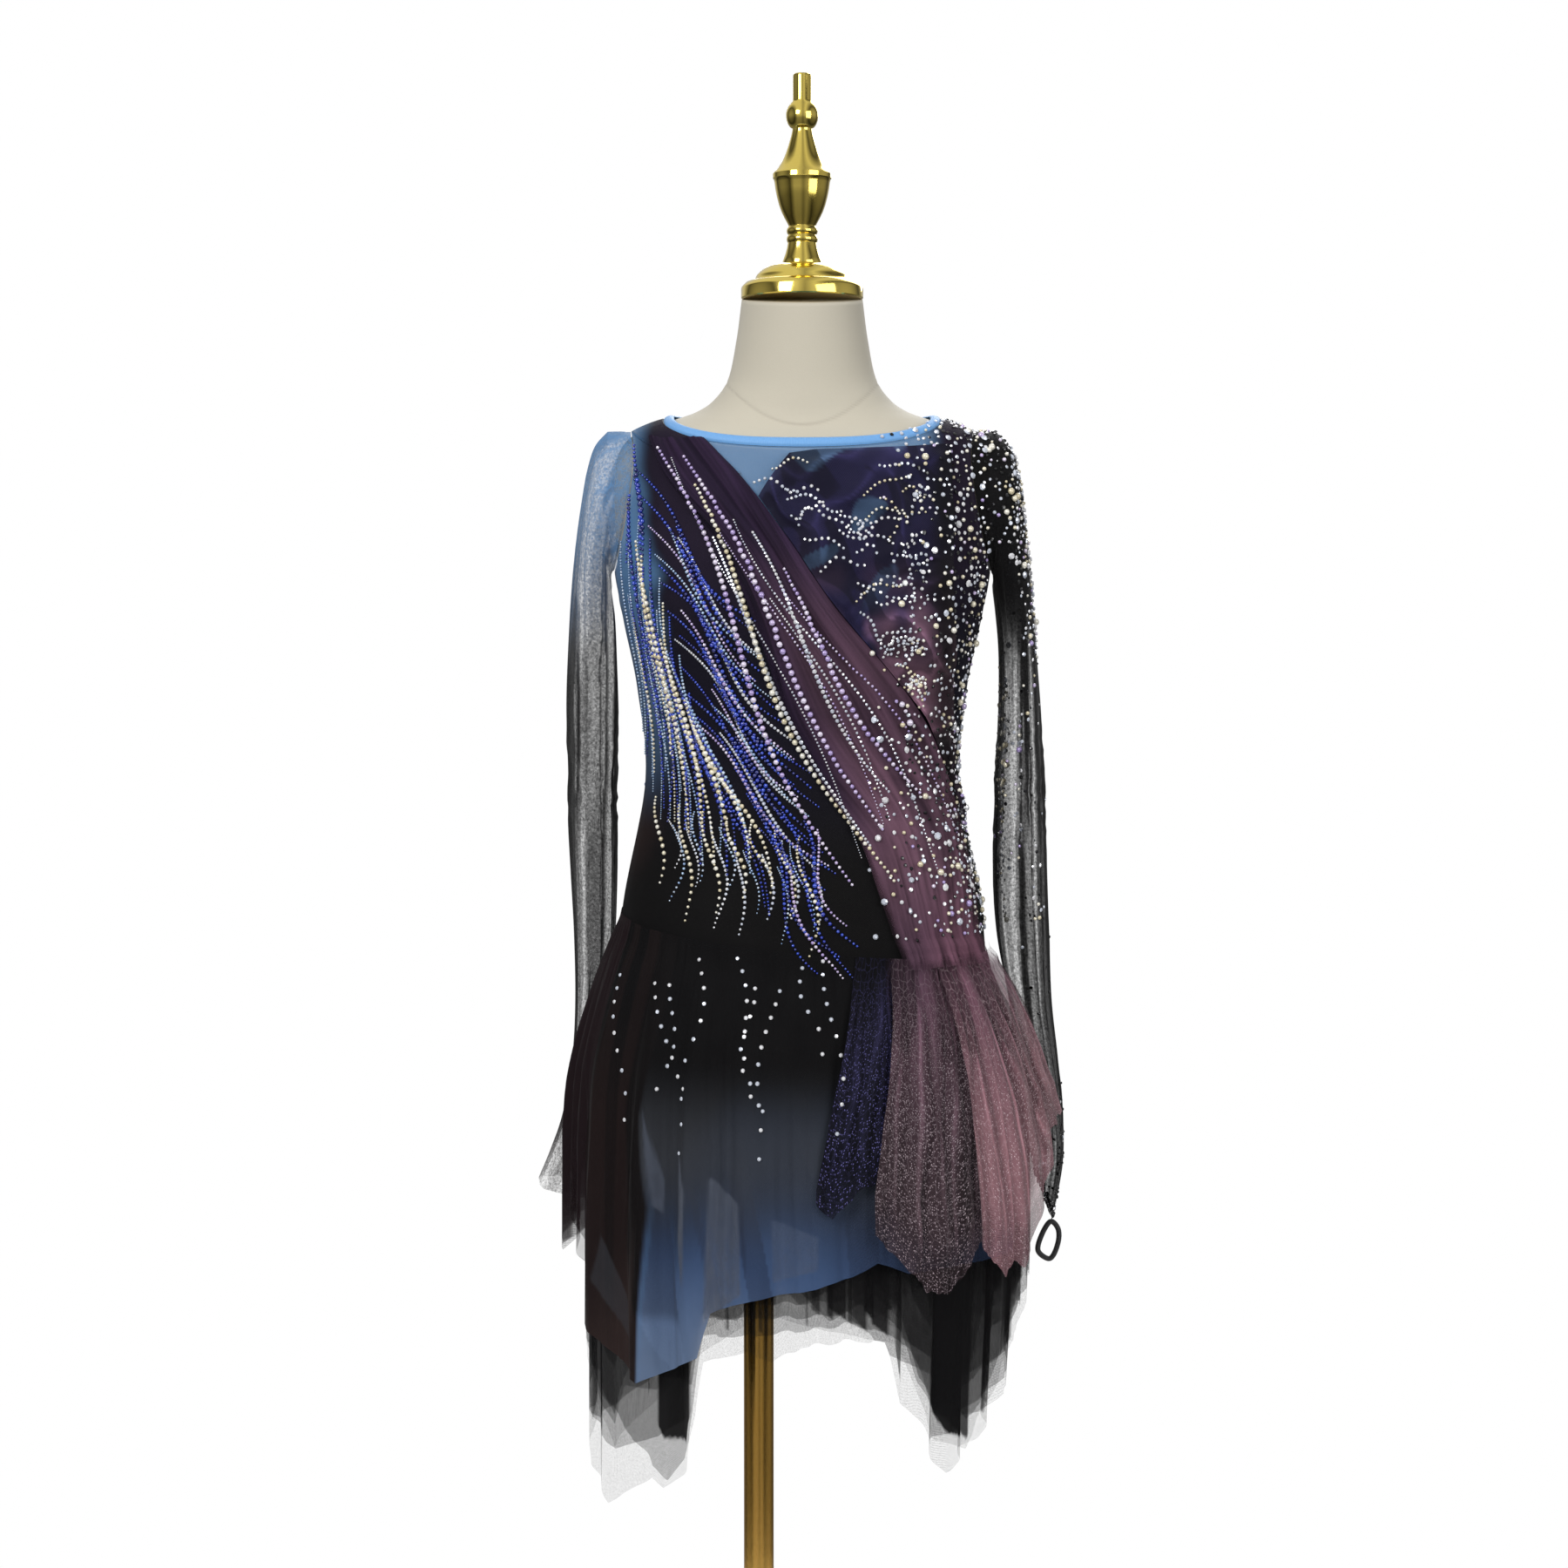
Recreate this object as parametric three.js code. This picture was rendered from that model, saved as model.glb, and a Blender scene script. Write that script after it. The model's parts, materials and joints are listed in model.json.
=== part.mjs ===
// A long-sleeved figure skating dress on a limbless dress form with a brass stand.
// Millimetres, +Z up. The dress faces -Y, so the wearer's right is at -X and the left at +X.
// The origin is the middle of the stand's foot, on the floor.
import * as THREE from "three";

// Driving dimensions
const bodyOffset = 37.5; // the form's middle, to the wearer's left of the pole
const clothThickness = 1.2;
const formClearance = 2.7; // air between the form and the dress
const seamGap = 0.9;
const hipSeam = { middle: 812, leftDrop: 15, frontDrop: 10 }; // where the skirt is sewn on
const formBottom = 645;
const footRadius = 150;
const footThickness = 9;
const poleRadius = 13;
const socketRadius = 34;
const socketThickness = 9;
const capLean = THREE.MathUtils.degToRad(5); // the neck cap and finial lean forwards
const neckTop = 1352;

// The form, ring by ring from the bottom up: height, half width, depth in front of and behind the middle,
// how square the ring is (2 is an ellipse), and how much it drops towards the front.
const formRings = [
  { z: formBottom, side: 154.5, front: 105.8, back: 113.8, square: 2.2, drop: 0 },
  { z: 735, side: 156.5, front: 105.8, back: 117.8, square: 2.2, drop: 0 },
  { z: 830, side: 151, front: 99.8, back: 105.8, square: 2.2, drop: 0 },
  { z: 940, side: 131, front: 89.8, back: 79.8, square: 2.15, drop: 0 },
  { z: 1020, side: 137.5, front: 98.8, back: 83.8, square: 2.2, drop: 0 },
  { z: 1080, side: 149.5, front: 109.8, back: 89.8, square: 2.3, drop: 0 },
  { z: 1125, side: 157.5, front: 104.8, back: 93.8, square: 2.3, drop: 0 },
  { z: 1180, side: 160.5, front: 90.8, back: 91.8, square: 2.3, drop: 0 },
  { z: 1215, side: 158.5, front: 77.8, back: 85.8, square: 2.2, drop: 0 },
  { z: 1233, side: 148.5, front: 68.8, back: 77.8, square: 2.1, drop: 0 },
  { z: 1243, side: 130.5, front: 64.7, back: 71.7, square: 2, drop: 0 },
  { z: 1250, side: 108.5, front: 61.1, back: 65.7, square: 2, drop: 0 },
  { z: 1257, side: 89.2, front: 58.8, back: 60.3, square: 2, drop: 0 },
  { z: 1267, side: 75, front: 57, back: 57, square: 2, drop: 0 },
  { z: 1285, side: 63, front: 54.5, back: 54.5, square: 2, drop: 0 },
  { z: 1318, side: 56, front: 52.5, back: 52.5, square: 2, drop: 0 },
  { z: neckTop, side: 51.5, front: 51.5, back: 51.5, square: 2, drop: Math.tan(capLean) },
].map((ring, step) => ({ ...ring, step }));

// Places on the form, counted in rings of that table.
const hipRow = 1.85; // the panels' lowest row, which follows the hip seam
const neckline = { middle: 9.1, shoulder: 11, curve: 2.75, backMiddle: 10.2 };
const bindingWidth = 9;
const armhole = { bottom: 5.9, top: 9.3, front: 30, back: 26 }; // steps, and degrees from the side seam
const sleeveColumns = 14;

// Small helpers
const radians = THREE.MathUtils.degToRad;
const clamp = THREE.MathUtils.clamp;
const lerp = THREE.MathUtils.lerp;
const evenly = (count) => Array.from({ length: count + 1 }, (_, i) => i / count);
const swell = (x) => (Math.abs(x) < 1 ? (1 + Math.cos(Math.PI * x)) / 2 : 0);
const power = (x, p) => Math.sign(x) * Math.abs(x) ** p;

// One column of a table, read at a place between its rows along a smooth curve.
function along(table, place, column, at) {
  const last = table.length - 1;
  let i = 0;
  while (i < last - 1 && at > table[i + 1][place]) i += 1;
  const slope = (k) => {
    const before = table[Math.max(k - 1, 0)];
    const after = table[Math.min(k + 1, last)];
    return (after[column] - before[column]) / (after[place] - before[place]);
  };
  const span = table[i + 1][place] - table[i][place];
  const s = clamp((at - table[i][place]) / span, 0, 1);
  const start = table[i][column];
  const rise = table[i + 1][column] - start;
  const bendIn = slope(i) * span - rise;
  const bendOut = rise - slope(i + 1) * span;
  return start + rise * s + s * (1 - s) * (bendIn * (1 - s) + bendOut * s);
}

// The same, along straight lines, as a cut hem runs.
function straight(table, place, column, at) {
  const last = table.length - 1;
  let i = 0;
  while (i < last - 1 && at > table[i + 1][place]) i += 1;
  const s = clamp((at - table[i][place]) / (table[i + 1][place] - table[i][place]), 0, 1);
  return lerp(table[i][column], table[i + 1][column], s);
}

// A closed mesh from points and triangles.
function meshOf(name, colour, roughness, metalness, points, triangles) {
  const geometry = new THREE.BufferGeometry();
  geometry.setAttribute("position", new THREE.Float32BufferAttribute(points.flatMap((p) => [p.x, p.y, p.z]), 3));
  geometry.setIndex(triangles);
  geometry.computeVertexNormals();
  const mesh = new THREE.Mesh(geometry, new THREE.MeshStandardMaterial({ color: colour, roughness, metalness }));
  mesh.name = name;
  return mesh;
}

// The outward direction of a surface whose u runs to the wearer's left across the front and whose v runs down.
function outwardAt(surface, u, v, ring) {
  const e = 1e-3;
  const [uLow, uHigh] = ring ? [u - e, u + e] : [Math.max(u - e, 0), Math.min(u + e, 1)];
  const [vLow, vHigh] = [Math.max(v - e, 0), Math.min(v + e, 1)];
  const acrossStep = surface(uHigh, v).sub(surface(uLow, v));
  const downStep = surface(u, vHigh).sub(surface(u, vLow));
  return downStep.cross(acrossStep).normalize();
}

// A wall of cloth: the outer face is surface(u, v), the inner face lies one thickness behind it.
function clothWall(name, colour, { surface, across, down, ring = false, thickness = clothThickness }) {
  const columns = ring ? across.length - 1 : across.length;
  const rows = down.length;
  const outer = [];
  const inner = [];
  for (let j = 0; j < rows; j += 1)
    for (let i = 0; i < columns; i += 1) {
      const point = surface(across[i], down[j]);
      outer.push(point);
      inner.push(point.clone().addScaledVector(outwardAt(surface, across[i], down[j], ring), -thickness));
    }
  const points = [...outer, ...inner];
  const at = (i, j, face = 0) => face * columns * rows + j * columns + (i % columns);
  const triangles = [];
  const quad = (a, b, c, d) => triangles.push(a, b, c, a, c, d);
  const lastColumn = ring ? columns : columns - 1;
  for (let j = 0; j < rows - 1; j += 1)
    for (let i = 0; i < lastColumn; i += 1) {
      quad(at(i, j), at(i, j + 1), at(i + 1, j + 1), at(i + 1, j));
      quad(at(i, j, 1), at(i + 1, j, 1), at(i + 1, j + 1, 1), at(i, j + 1, 1));
    }
  for (let i = 0; i < lastColumn; i += 1) {
    quad(at(i, 0, 1), at(i, 0), at(i + 1, 0), at(i + 1, 0, 1));
    quad(at(i, rows - 1), at(i, rows - 1, 1), at(i + 1, rows - 1, 1), at(i + 1, rows - 1));
  }
  for (let j = 0; !ring && j < rows - 1; j += 1) {
    quad(at(0, j, 1), at(0, j + 1, 1), at(0, j + 1), at(0, j));
    quad(at(columns - 1, j), at(columns - 1, j + 1), at(columns - 1, j + 1, 1), at(columns - 1, j, 1));
  }
  return meshOf(name, colour, 0.8, 0, points, triangles);
}

// A turned brass piece. The profile is a table of radius and height that starts and ends on the axis.
function turned(name, profile, segments) {
  const points = profile.map(([radius, height]) => new THREE.Vector2(radius, height));
  const geometry = new THREE.LatheGeometry(points, segments).rotateX(Math.PI / 2);
  const mesh = new THREE.Mesh(geometry, new THREE.MeshStandardMaterial({ color: 0xcaa63a, roughness: 0.15, metalness: 1 }));
  mesh.name = name;
  return mesh;
}

// The form's surface at an angle from the front, moved out by a lift. Positive angles turn to the wearer's left.
function ringPoint(angle, step) {
  const read = (column) => along(formRings, "step", column, step);
  const s = Math.sin(radians(angle));
  const c = Math.cos(radians(angle));
  const p = 2 / read("square");
  const y = -read(c > 0 ? "front" : "back") * power(c, p);
  return new THREE.Vector3(read("side") * power(s, p), y, read("z") + read("drop") * y);
}
function formPoint(angle, step, lift) {
  const e = 0.01;
  const acrossStep = ringPoint(angle + 1, step).sub(ringPoint(angle - 1, step));
  const upStep = ringPoint(angle, step + e).sub(ringPoint(angle, step - e));
  return ringPoint(angle, step).addScaledVector(acrossStep.cross(upStep).normalize(), lift);
}

// How far along the form's rings a height lies.
function stepAt(height) {
  let [low, high] = [0, formRings.length - 1];
  for (let i = 0; i < 24; i += 1) {
    const middle = (low + high) / 2;
    if (along(formRings, "step", "z", middle) < height) low = middle;
    else high = middle;
  }
  return low;
}

// The height of the hip seam, which dips to the front and to the wearer's left.
function seamHeight(angle) {
  return hipSeam.middle - hipSeam.leftDrop * Math.sin(radians(angle)) - hipSeam.frontDrop * Math.cos(radians(angle));
}

const dressLift = formClearance + clothThickness; // the bodice's outer face, from the form

// ---- The dress form and its stand ----
function dressForm() {
  const segments = 26;
  const steps = [0, 1, 2, 2.5, 3, 3.5, 4, 4.5, 5, 6, 7, 7.5, 8, 8.5, 9, 9.5, 10, 10.5, 11, 12, 13, 14, 15, 16];
  const points = steps.flatMap((step) => evenly(segments).slice(0, -1).map((u) => ringPoint(u * 360, step)));
  const at = (i, j) => j * segments + (i % segments);
  const triangles = [];
  for (let j = 0; j < steps.length - 1; j += 1)
    for (let i = 0; i < segments; i += 1)
      triangles.push(at(i, j), at(i + 1, j), at(i + 1, j + 1), at(i, j), at(i + 1, j + 1), at(i, j + 1));
  const middle = points.push(new THREE.Vector3(0, 0, formBottom)) - 1;
  const top = points.push(new THREE.Vector3(0, 0, neckTop)) - 1;
  for (let i = 0; i < segments; i += 1) {
    triangles.push(middle, at(i + 1, 0), at(i, 0));
    triangles.push(top, at(i, steps.length - 1), at(i + 1, steps.length - 1));
  }
  return meshOf("form_torso", 0xd9d2c4, 0.9, 0, points, triangles);
}

const capThickness = 29;
const capProfile = [
  [0, 0], [52, 0], [52, 10], [48, 14], [41, 15.5], [39.5, 19], [30, 27.5], [18, capThickness], [0, capThickness],
];
const finialProfile = [
  [0, 0], [16.6, 0], [16.6, 3], [14.4, 9], [12.2, 19], [12.9, 21], [12.9, 24], [11.8, 25.5], [12.9, 27], [12.9, 31],
  [11.5, 33], [17.2, 45], [21.7, 60], [24, 72], [25.1, 73.5], [25.1, 77.5], [23.4, 79], [17.5, 87], [12.4, 99],
  [8.6, 113], [8.2, 116], [11.8, 119], [13.8, 126], [13.8, 130], [11.6, 135.5], [8.6, 138.5], [7.9, 140], [7.9, 161],
  [6.8, 163], [0, 163],
];

function stand() {
  const foot = turned("stand_foot", [
    [0, 0], [footRadius, 0], [footRadius, 5], [footRadius - 4, footThickness], [24, footThickness + 4], [0, footThickness + 4],
  ], 32);
  const poleBottom = footThickness + 4.3;
  const poleTop = formBottom - socketThickness - 0.6;
  const pole = turned("stand_pole", [
    [0, poleBottom], [poleRadius, poleBottom], [poleRadius, poleTop], [0, poleTop],
  ], 16);
  const socket = turned("pole_socket", [
    [0, poleTop + 0.3], [socketRadius, poleTop + 0.3], [socketRadius, formBottom - 0.3], [0, formBottom - 0.3],
  ], 20);
  return [foot, pole, socket];
}

function neckFinial() {
  const group = new THREE.Group();
  group.position.z = neckTop;
  group.rotation.x = capLean;
  const cap = turned("neck_cap", capProfile, 24);
  cap.position.z = 0.3;
  const finial = turned("finial", finialProfile, 16);
  finial.position.z = capThickness + 0.6;
  group.add(cap, finial);
  return group;
}

// ---- The bodice ----
// The neckline's place at an angle, front or back.
function neckStep(angle) {
  const middle = Math.cos(radians(angle)) > 0 ? neckline.middle : neckline.backMiddle;
  return lerp(middle, neckline.shoulder, Math.abs(Math.sin(radians(angle))) ** neckline.curve);
}
// The panels stop short of the neckline by the width of the binding.
function underBinding(angle, width) {
  const step = neckStep(angle);
  const stepLength = ringPoint(angle, step).distanceTo(ringPoint(angle, step - 0.5)) / 0.5;
  return step - width / stepLength;
}

// Rows of a panel, down its side edge: shoulder, armhole, then side seam.
const armholeTurn = evenly(sleeveColumns).slice(0, sleeveColumns / 2 + 1).map((u) => u * 2 * Math.PI);
const armholeSteps = armholeTurn.map((turn) =>
  lerp(armhole.bottom, armhole.top, (1 + Math.cos(turn)) / 2));
function panelRows(shoulderRows, sideRows) {
  const shoulder = underBinding(90, bindingWidth + seamGap);
  return [
    ...evenly(shoulderRows).slice(0, -1).map((s) => lerp(shoulder, armhole.top, s)),
    ...armholeSteps,
    ...evenly(sideRows).slice(1).map((s) => lerp(armhole.bottom, hipRow, s)),
  ];
}

// A point on the front (facing 0) or back (facing 180) panel. Row is the place down the side edge.
function panelPoint(facing, u, row, lift) {
  const shoulder = underBinding(90, bindingWidth + seamGap);
  const spread = u * 2 - 1;
  const turn = Math.acos(clamp((row - armhole.bottom) / (armhole.top - armhole.bottom) * 2 - 1, -1, 1));
  const depth = facing === 0 ? armhole.front : armhole.back;
  const edge = 90 - 0.15 - depth * Math.sin(turn);
  const angle = facing + spread * edge;
  const top = underBinding(facing + spread * 90, bindingWidth + seamGap);
  const step = hipRow + (row - hipRow) * (top - hipRow) / (shoulder - hipRow);
  const toHip = clamp((armhole.bottom - row) / (armhole.bottom - hipRow), 0, 1);
  return formPoint(angle, step + toHip * (stepAt(seamHeight(angle)) - hipRow), lift);
}

function bodicePanel(name, colour, facing, columns, sideRows) {
  const rows = panelRows(1, sideRows);
  const surface = (u, v) => panelPoint(facing, u, rowAt(rows, v), dressLift);
  return clothWall(name, colour, { surface, across: evenly(columns), down: evenly(rows.length - 1) });
}
// Reads a list of rows at a share of its length.
function rowAt(rows, v) {
  const i = Math.min(Math.floor(v * (rows.length - 1) + 1e-9), rows.length - 2);
  return lerp(rows[i], rows[i + 1], v * (rows.length - 1) - i);
}

function neckBinding() {
  const surface = (u, v) => {
    const angle = u * 360;
    return formPoint(angle, underBinding(angle, v * bindingWidth), dressLift + 0.6);
  };
  return clothWall("neck_binding", 0x78a9d8, {
    surface, across: evenly(36), down: evenly(1), ring: true, thickness: clothThickness + 0.6,
  });
}

// The leotard's lower part, from under the skirt's layers down to the form's edge.
const briefTop = 30;
const briefLift = dressLift - 0.7; // it lies closer than the bodice
function brief() {
  const surface = (u, v) => formPoint(u * 360, lerp(stepAt(seamHeight(u * 360) - briefTop), 0.06, v), briefLift);
  return clothWall("brief", 0x0b0b0d, { surface, across: evenly(24), down: evenly(3), ring: true });
}

// ---- What lies on the bodice front ----
// A point of the front, given by how far it lies to the wearer's left of the middle and its height.
function frontPoint(x, height, lift) {
  const step = stepAt(height);
  const read = (column) => along(formRings, "step", column, step);
  const share = clamp(x / read("side"), -0.999, 0.999);
  const angle = THREE.MathUtils.radToDeg(Math.asin(power(share, read("square") / 2)));
  return formPoint(angle, step, lift);
}
const overlayLift = dressLift + 2.9 + clothThickness;

// The sash runs from the right shoulder to the left hip: its edges at each height.
const sashEdges = [
  { z: 798, right: 80, left: 147 },
  { z: 826, right: 71, left: 143 },
  { z: 850, right: 63, left: 141 },
  { z: 900, right: 45, left: 130 },
  { z: 950, right: 14, left: 117 },
  { z: 1000, right: -12, left: 98 },
  { z: 1050, right: -28, left: 64 },
  { z: 1100, right: -46, left: 22 },
  { z: 1150, right: -72, left: -12 },
  { z: 1200, right: -112, left: -50 },
  { z: 1234, right: -128, left: -84 },
];
const sashRipples = [
  { at: 0.18, width: 0.14, rise: 1.6 },
  { at: 0.47, width: 0.16, rise: 2.2 },
  { at: 0.78, width: 0.15, rise: 1.8 },
];
function sash() {
  const surface = (u, v) => {
    const z = lerp(1231, 799, v);
    const x = lerp(along(sashEdges, "z", "right", z), along(sashEdges, "z", "left", z), u);
    const ripple = sashRipples.reduce((sum, r) => sum + r.rise * swell((u - r.at) / r.width), 0);
    return frontPoint(x, z, overlayLift + ripple * Math.sin(Math.PI * clamp(v * 1.4, 0, 1)) ** 0.5);
  };
  return clothWall("sash", 0x4a3440, { surface, across: evenly(9), down: evenly(17).map((v) => v ** 1.3) });
}

// Gathers of the tulle yoke: where each crosses the piece, how it slants, and how high it stands.
const yokeGathers = [
  { at: 0.1, slant: 0.25, width: 0.075, rise: 3.2 },
  { at: 0.27, slant: -0.18, width: 0.085, rise: 3.8 },
  { at: 0.43, slant: 0.2, width: 0.07, rise: 3 },
  { at: 0.58, slant: -0.12, width: 0.09, rise: 4 },
  { at: 0.73, slant: 0.16, width: 0.07, rise: 3 },
  { at: 0.88, slant: -0.1, width: 0.075, rise: 3.4 },
];
const yokeTop = [
  { u: 0, z: 1184 },
  { u: 0.3, z: 1219 },
  { u: 0.42, z: 1222 },
  { u: 0.8, z: 1224 },
  { u: 1, z: 1226 },
];
function yoke() {
  const surface = (u, v) => {
    const z = lerp(straight(yokeTop, "u", "z", u), 905, v);
    const right = along(sashEdges, "z", "left", z) + 2.4;
    const left = Math.min(122, along(formRings, "step", "side", stepAt(z)) - 10);
    const x = lerp(right, Math.max(left, right + 3), u);
    const gather = yokeGathers.reduce((sum, g) => sum + g.rise * swell((v - g.at - g.slant * (u - 0.5)) / g.width), 0);
    return frontPoint(x, z, overlayLift + gather * Math.sin(Math.PI * clamp(u, 0.06, 0.94)) ** 0.4);
  };
  return clothWall("yoke", 0x1d1c33, { surface, across: evenly(9), down: evenly(18) });
}

// ---- The sleeves ----
// Each row of a sleeve by its outer and inner points across the front, and where it lies and how deep it is from front to back.
const rightSleeve = [
  { outX: -166, outZ: 1239, inX: -163.2, inZ: 1120.5, y: 1, deep: 47 },
  { outX: -177, outZ: 1226, inX: -164.2, inZ: 1117, y: 2, deep: 48 },
  { outX: -184, outZ: 1203, inX: -164.4, inZ: 1111, y: 4, deep: 47 },
  { outX: -190, outZ: 1168, inX: -164, inZ: 1100, y: 7, deep: 45 },
  { outX: -195, outZ: 1122, inX: -161.5, inZ: 1078, y: 12, deep: 43 },
  { outX: -199, outZ: 1070, inX: -160, inZ: 1045, y: 18, deep: 42 },
  { outX: -202, outZ: 1005, inX: -160, inZ: 996, y: 26, deep: 41 },
  { outX: -201, outZ: 935, inX: -163, inZ: 935, y: 35, deep: 40 },
  { outX: -200, outZ: 865, inX: -164, inZ: 865, y: 45, deep: 38 },
  { outX: -198, outZ: 800, inX: -166, inZ: 800, y: 58, deep: 36 },
  { outX: -198, outZ: 740, inX: -170, inZ: 742, y: 72, deep: 33 },
  { outX: -201, outZ: 690, inX: -176, inZ: 693, y: 82, deep: 32 },
  { outX: -209, outZ: 640, inX: -182, inZ: 648, y: 88, deep: 34 },
  { outX: -221, outZ: 604, inX: -189, inZ: 608, y: 92, deep: 37 },
  { outX: -233, outZ: 575, inX: -205, inZ: 568, y: 94, deep: 39 },
];
const leftSleeve = [
  { outX: 166, outZ: 1239, inX: 163.2, inZ: 1120.5, y: 1, deep: 47 },
  { outX: 177, outZ: 1226, inX: 164.2, inZ: 1117, y: 2, deep: 48 },
  { outX: 185, outZ: 1203, inX: 164.6, inZ: 1111, y: 4, deep: 47 },
  { outX: 190, outZ: 1168, inX: 165, inZ: 1103, y: 7, deep: 45 },
  { outX: 196, outZ: 1118, inX: 168, inZ: 1086, y: 12, deep: 43 },
  { outX: 202, outZ: 1062, inX: 171, inZ: 1050, y: 18, deep: 42 },
  { outX: 207, outZ: 1000, inX: 171, inZ: 996, y: 26, deep: 41 },
  { outX: 210, outZ: 935, inX: 170, inZ: 935, y: 35, deep: 40 },
  { outX: 213, outZ: 865, inX: 170, inZ: 865, y: 45, deep: 38 },
  { outX: 216, outZ: 800, inX: 174, inZ: 800, y: 58, deep: 36 },
  { outX: 219, outZ: 740, inX: 184, inZ: 742, y: 72, deep: 33 },
  { outX: 225, outZ: 690, inX: 190, inZ: 690, y: 82, deep: 31 },
  { outX: 231, outZ: 640, inX: 195, inZ: 645, y: 88, deep: 27 },
  { outX: 232, outZ: 590, inX: 202, inZ: 612, y: 92, deep: 24 },
  { outX: 223, outZ: 539, inX: 210, inZ: 582, y: 95, deep: 12 },
];
// Long folds down a sleeve: how many waves go round it, how deep, and where they start.
const sleeveFolds = { waves: 5, depth: 2.6, start: 4, full: 8 };

function sleeve(name, colour, side, rows, lastRow) {
  const last = rows.length + 2;
  const ellipse = (row, turn) => {
    const read = (column) => along(rows.map((r, i) => ({ ...r, i })), "i", column, row);
    const grow = THREE.MathUtils.smoothstep(row, sleeveFolds.start, sleeveFolds.full);
    const wave = 1 + grow * sleeveFolds.depth * Math.cos(sleeveFolds.waves * turn + row * 0.12) / 40;
    const outer = new THREE.Vector3(read("outX"), read("y"), read("outZ"));
    const inner = new THREE.Vector3(read("inX"), read("y"), read("inZ"));
    const middle = outer.clone().lerp(inner, 0.5);
    const half = outer.sub(middle).multiplyScalar(Math.cos(turn) * (1 + (wave - 1) * 1.6));
    return middle.add(half).add(new THREE.Vector3(0, -read("deep") * Math.sin(turn) * wave, 0));
  };
  const seam = (turn, move) => {
    const inset = 0.04 * Math.cos(turn);
    const step = lerp(armhole.bottom, armhole.top, (1 + Math.cos(turn)) / 2) - inset;
    const depth = Math.sin(turn) > 0 ? armhole.front : armhole.back;
    const angle = side * (90 - (depth - 0.5) * Math.sin(turn));
    const point = formPoint(angle, step, dressLift);
    point.x += side * move;
    return point;
  };
  const surface = (u, v) => {
    const row = v * (last - 1);
    const turn = -side * u * 2 * Math.PI;
    const clear = lerp(1.4, 5, (1 + Math.cos(turn)) / 2);
    if (row <= 1) return seam(turn, row * clear);
    if (row <= 2) return seam(turn, clear).lerp(ellipse(0, turn), row - 1);
    return ellipse(row - 2, turn);
  };
  return clothWall(name, colour, { surface, across: evenly(sleeveColumns), down: evenly(last - 1), ring: true });
}

// The elastic loop that goes over the middle finger, sewn to the left cuff's point.
function fingerLoop() {
  const path = new THREE.CatmullRomCurve3([
    new THREE.Vector3(222, 95, 537.4), new THREE.Vector3(228.5, 94.5, 532), new THREE.Vector3(229.5, 93.5, 522),
    new THREE.Vector3(225.5, 92.8, 509), new THREE.Vector3(220, 92.5, 504.5), new THREE.Vector3(211, 92.5, 512),
    new THREE.Vector3(214.5, 94, 526),
  ], true, "catmullrom", 0.5);
  const cordRadius = 2.4;
  const sides = 6;
  const steps = 22;
  const frames = path.computeFrenetFrames(steps, true);
  const points = [];
  for (let j = 0; j < steps; j += 1)
    for (let i = 0; i < sides; i += 1) {
      const turn = i / sides * 2 * Math.PI;
      points.push(path.getPointAt(j / steps)
        .addScaledVector(frames.normals[j], Math.cos(turn) * cordRadius)
        .addScaledVector(frames.binormals[j], Math.sin(turn) * cordRadius));
    }
  const at = (i, j) => (j % steps) * sides + (i % sides);
  const triangles = [];
  for (let j = 0; j < steps; j += 1)
    for (let i = 0; i < sides; i += 1)
      triangles.push(at(i, j), at(i + 1, j), at(i + 1, j + 1), at(i, j), at(i + 1, j + 1), at(i, j + 1));
  return meshOf("finger_loop", 0x0b0b0d, 0.7, 0, points, triangles);
}

// ---- The skirt ----
// Its rings by how far they hang below the hip seam: half widths to the wearer's right and left, depths in front and behind.
const skirtRings = [
  { fall: 0, right: 156, left: 156, front: 104, back: 110 },
  { fall: 40, right: 172, left: 174, front: 122, back: 128 },
  { fall: 80, right: 184, left: 187, front: 135, back: 140 },
  { fall: 130, right: 195, left: 198, front: 144, back: 150 },
  { fall: 190, right: 199, left: 203, front: 150, back: 158 },
  { fall: 280, right: 200, left: 203, front: 153, back: 163 },
  { fall: 380, right: 200, left: 199, front: 154, back: 164 },
  { fall: 500, right: 200, left: 196, front: 154, back: 164 },
];
// Each layer lies further in than the one over it, by more lower down.
const layerStep = { top: 1.8, growth: 0.022, until: 220, seamRest: -1, rest: 3, restFrom: 30 };
// The sleeves hang against the skirt behind each hip and press it in.
const sleeveDents = [
  { at: -117, width: 27, rise: -17 },
  { at: 119, width: 27, rise: -15 },
];

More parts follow.
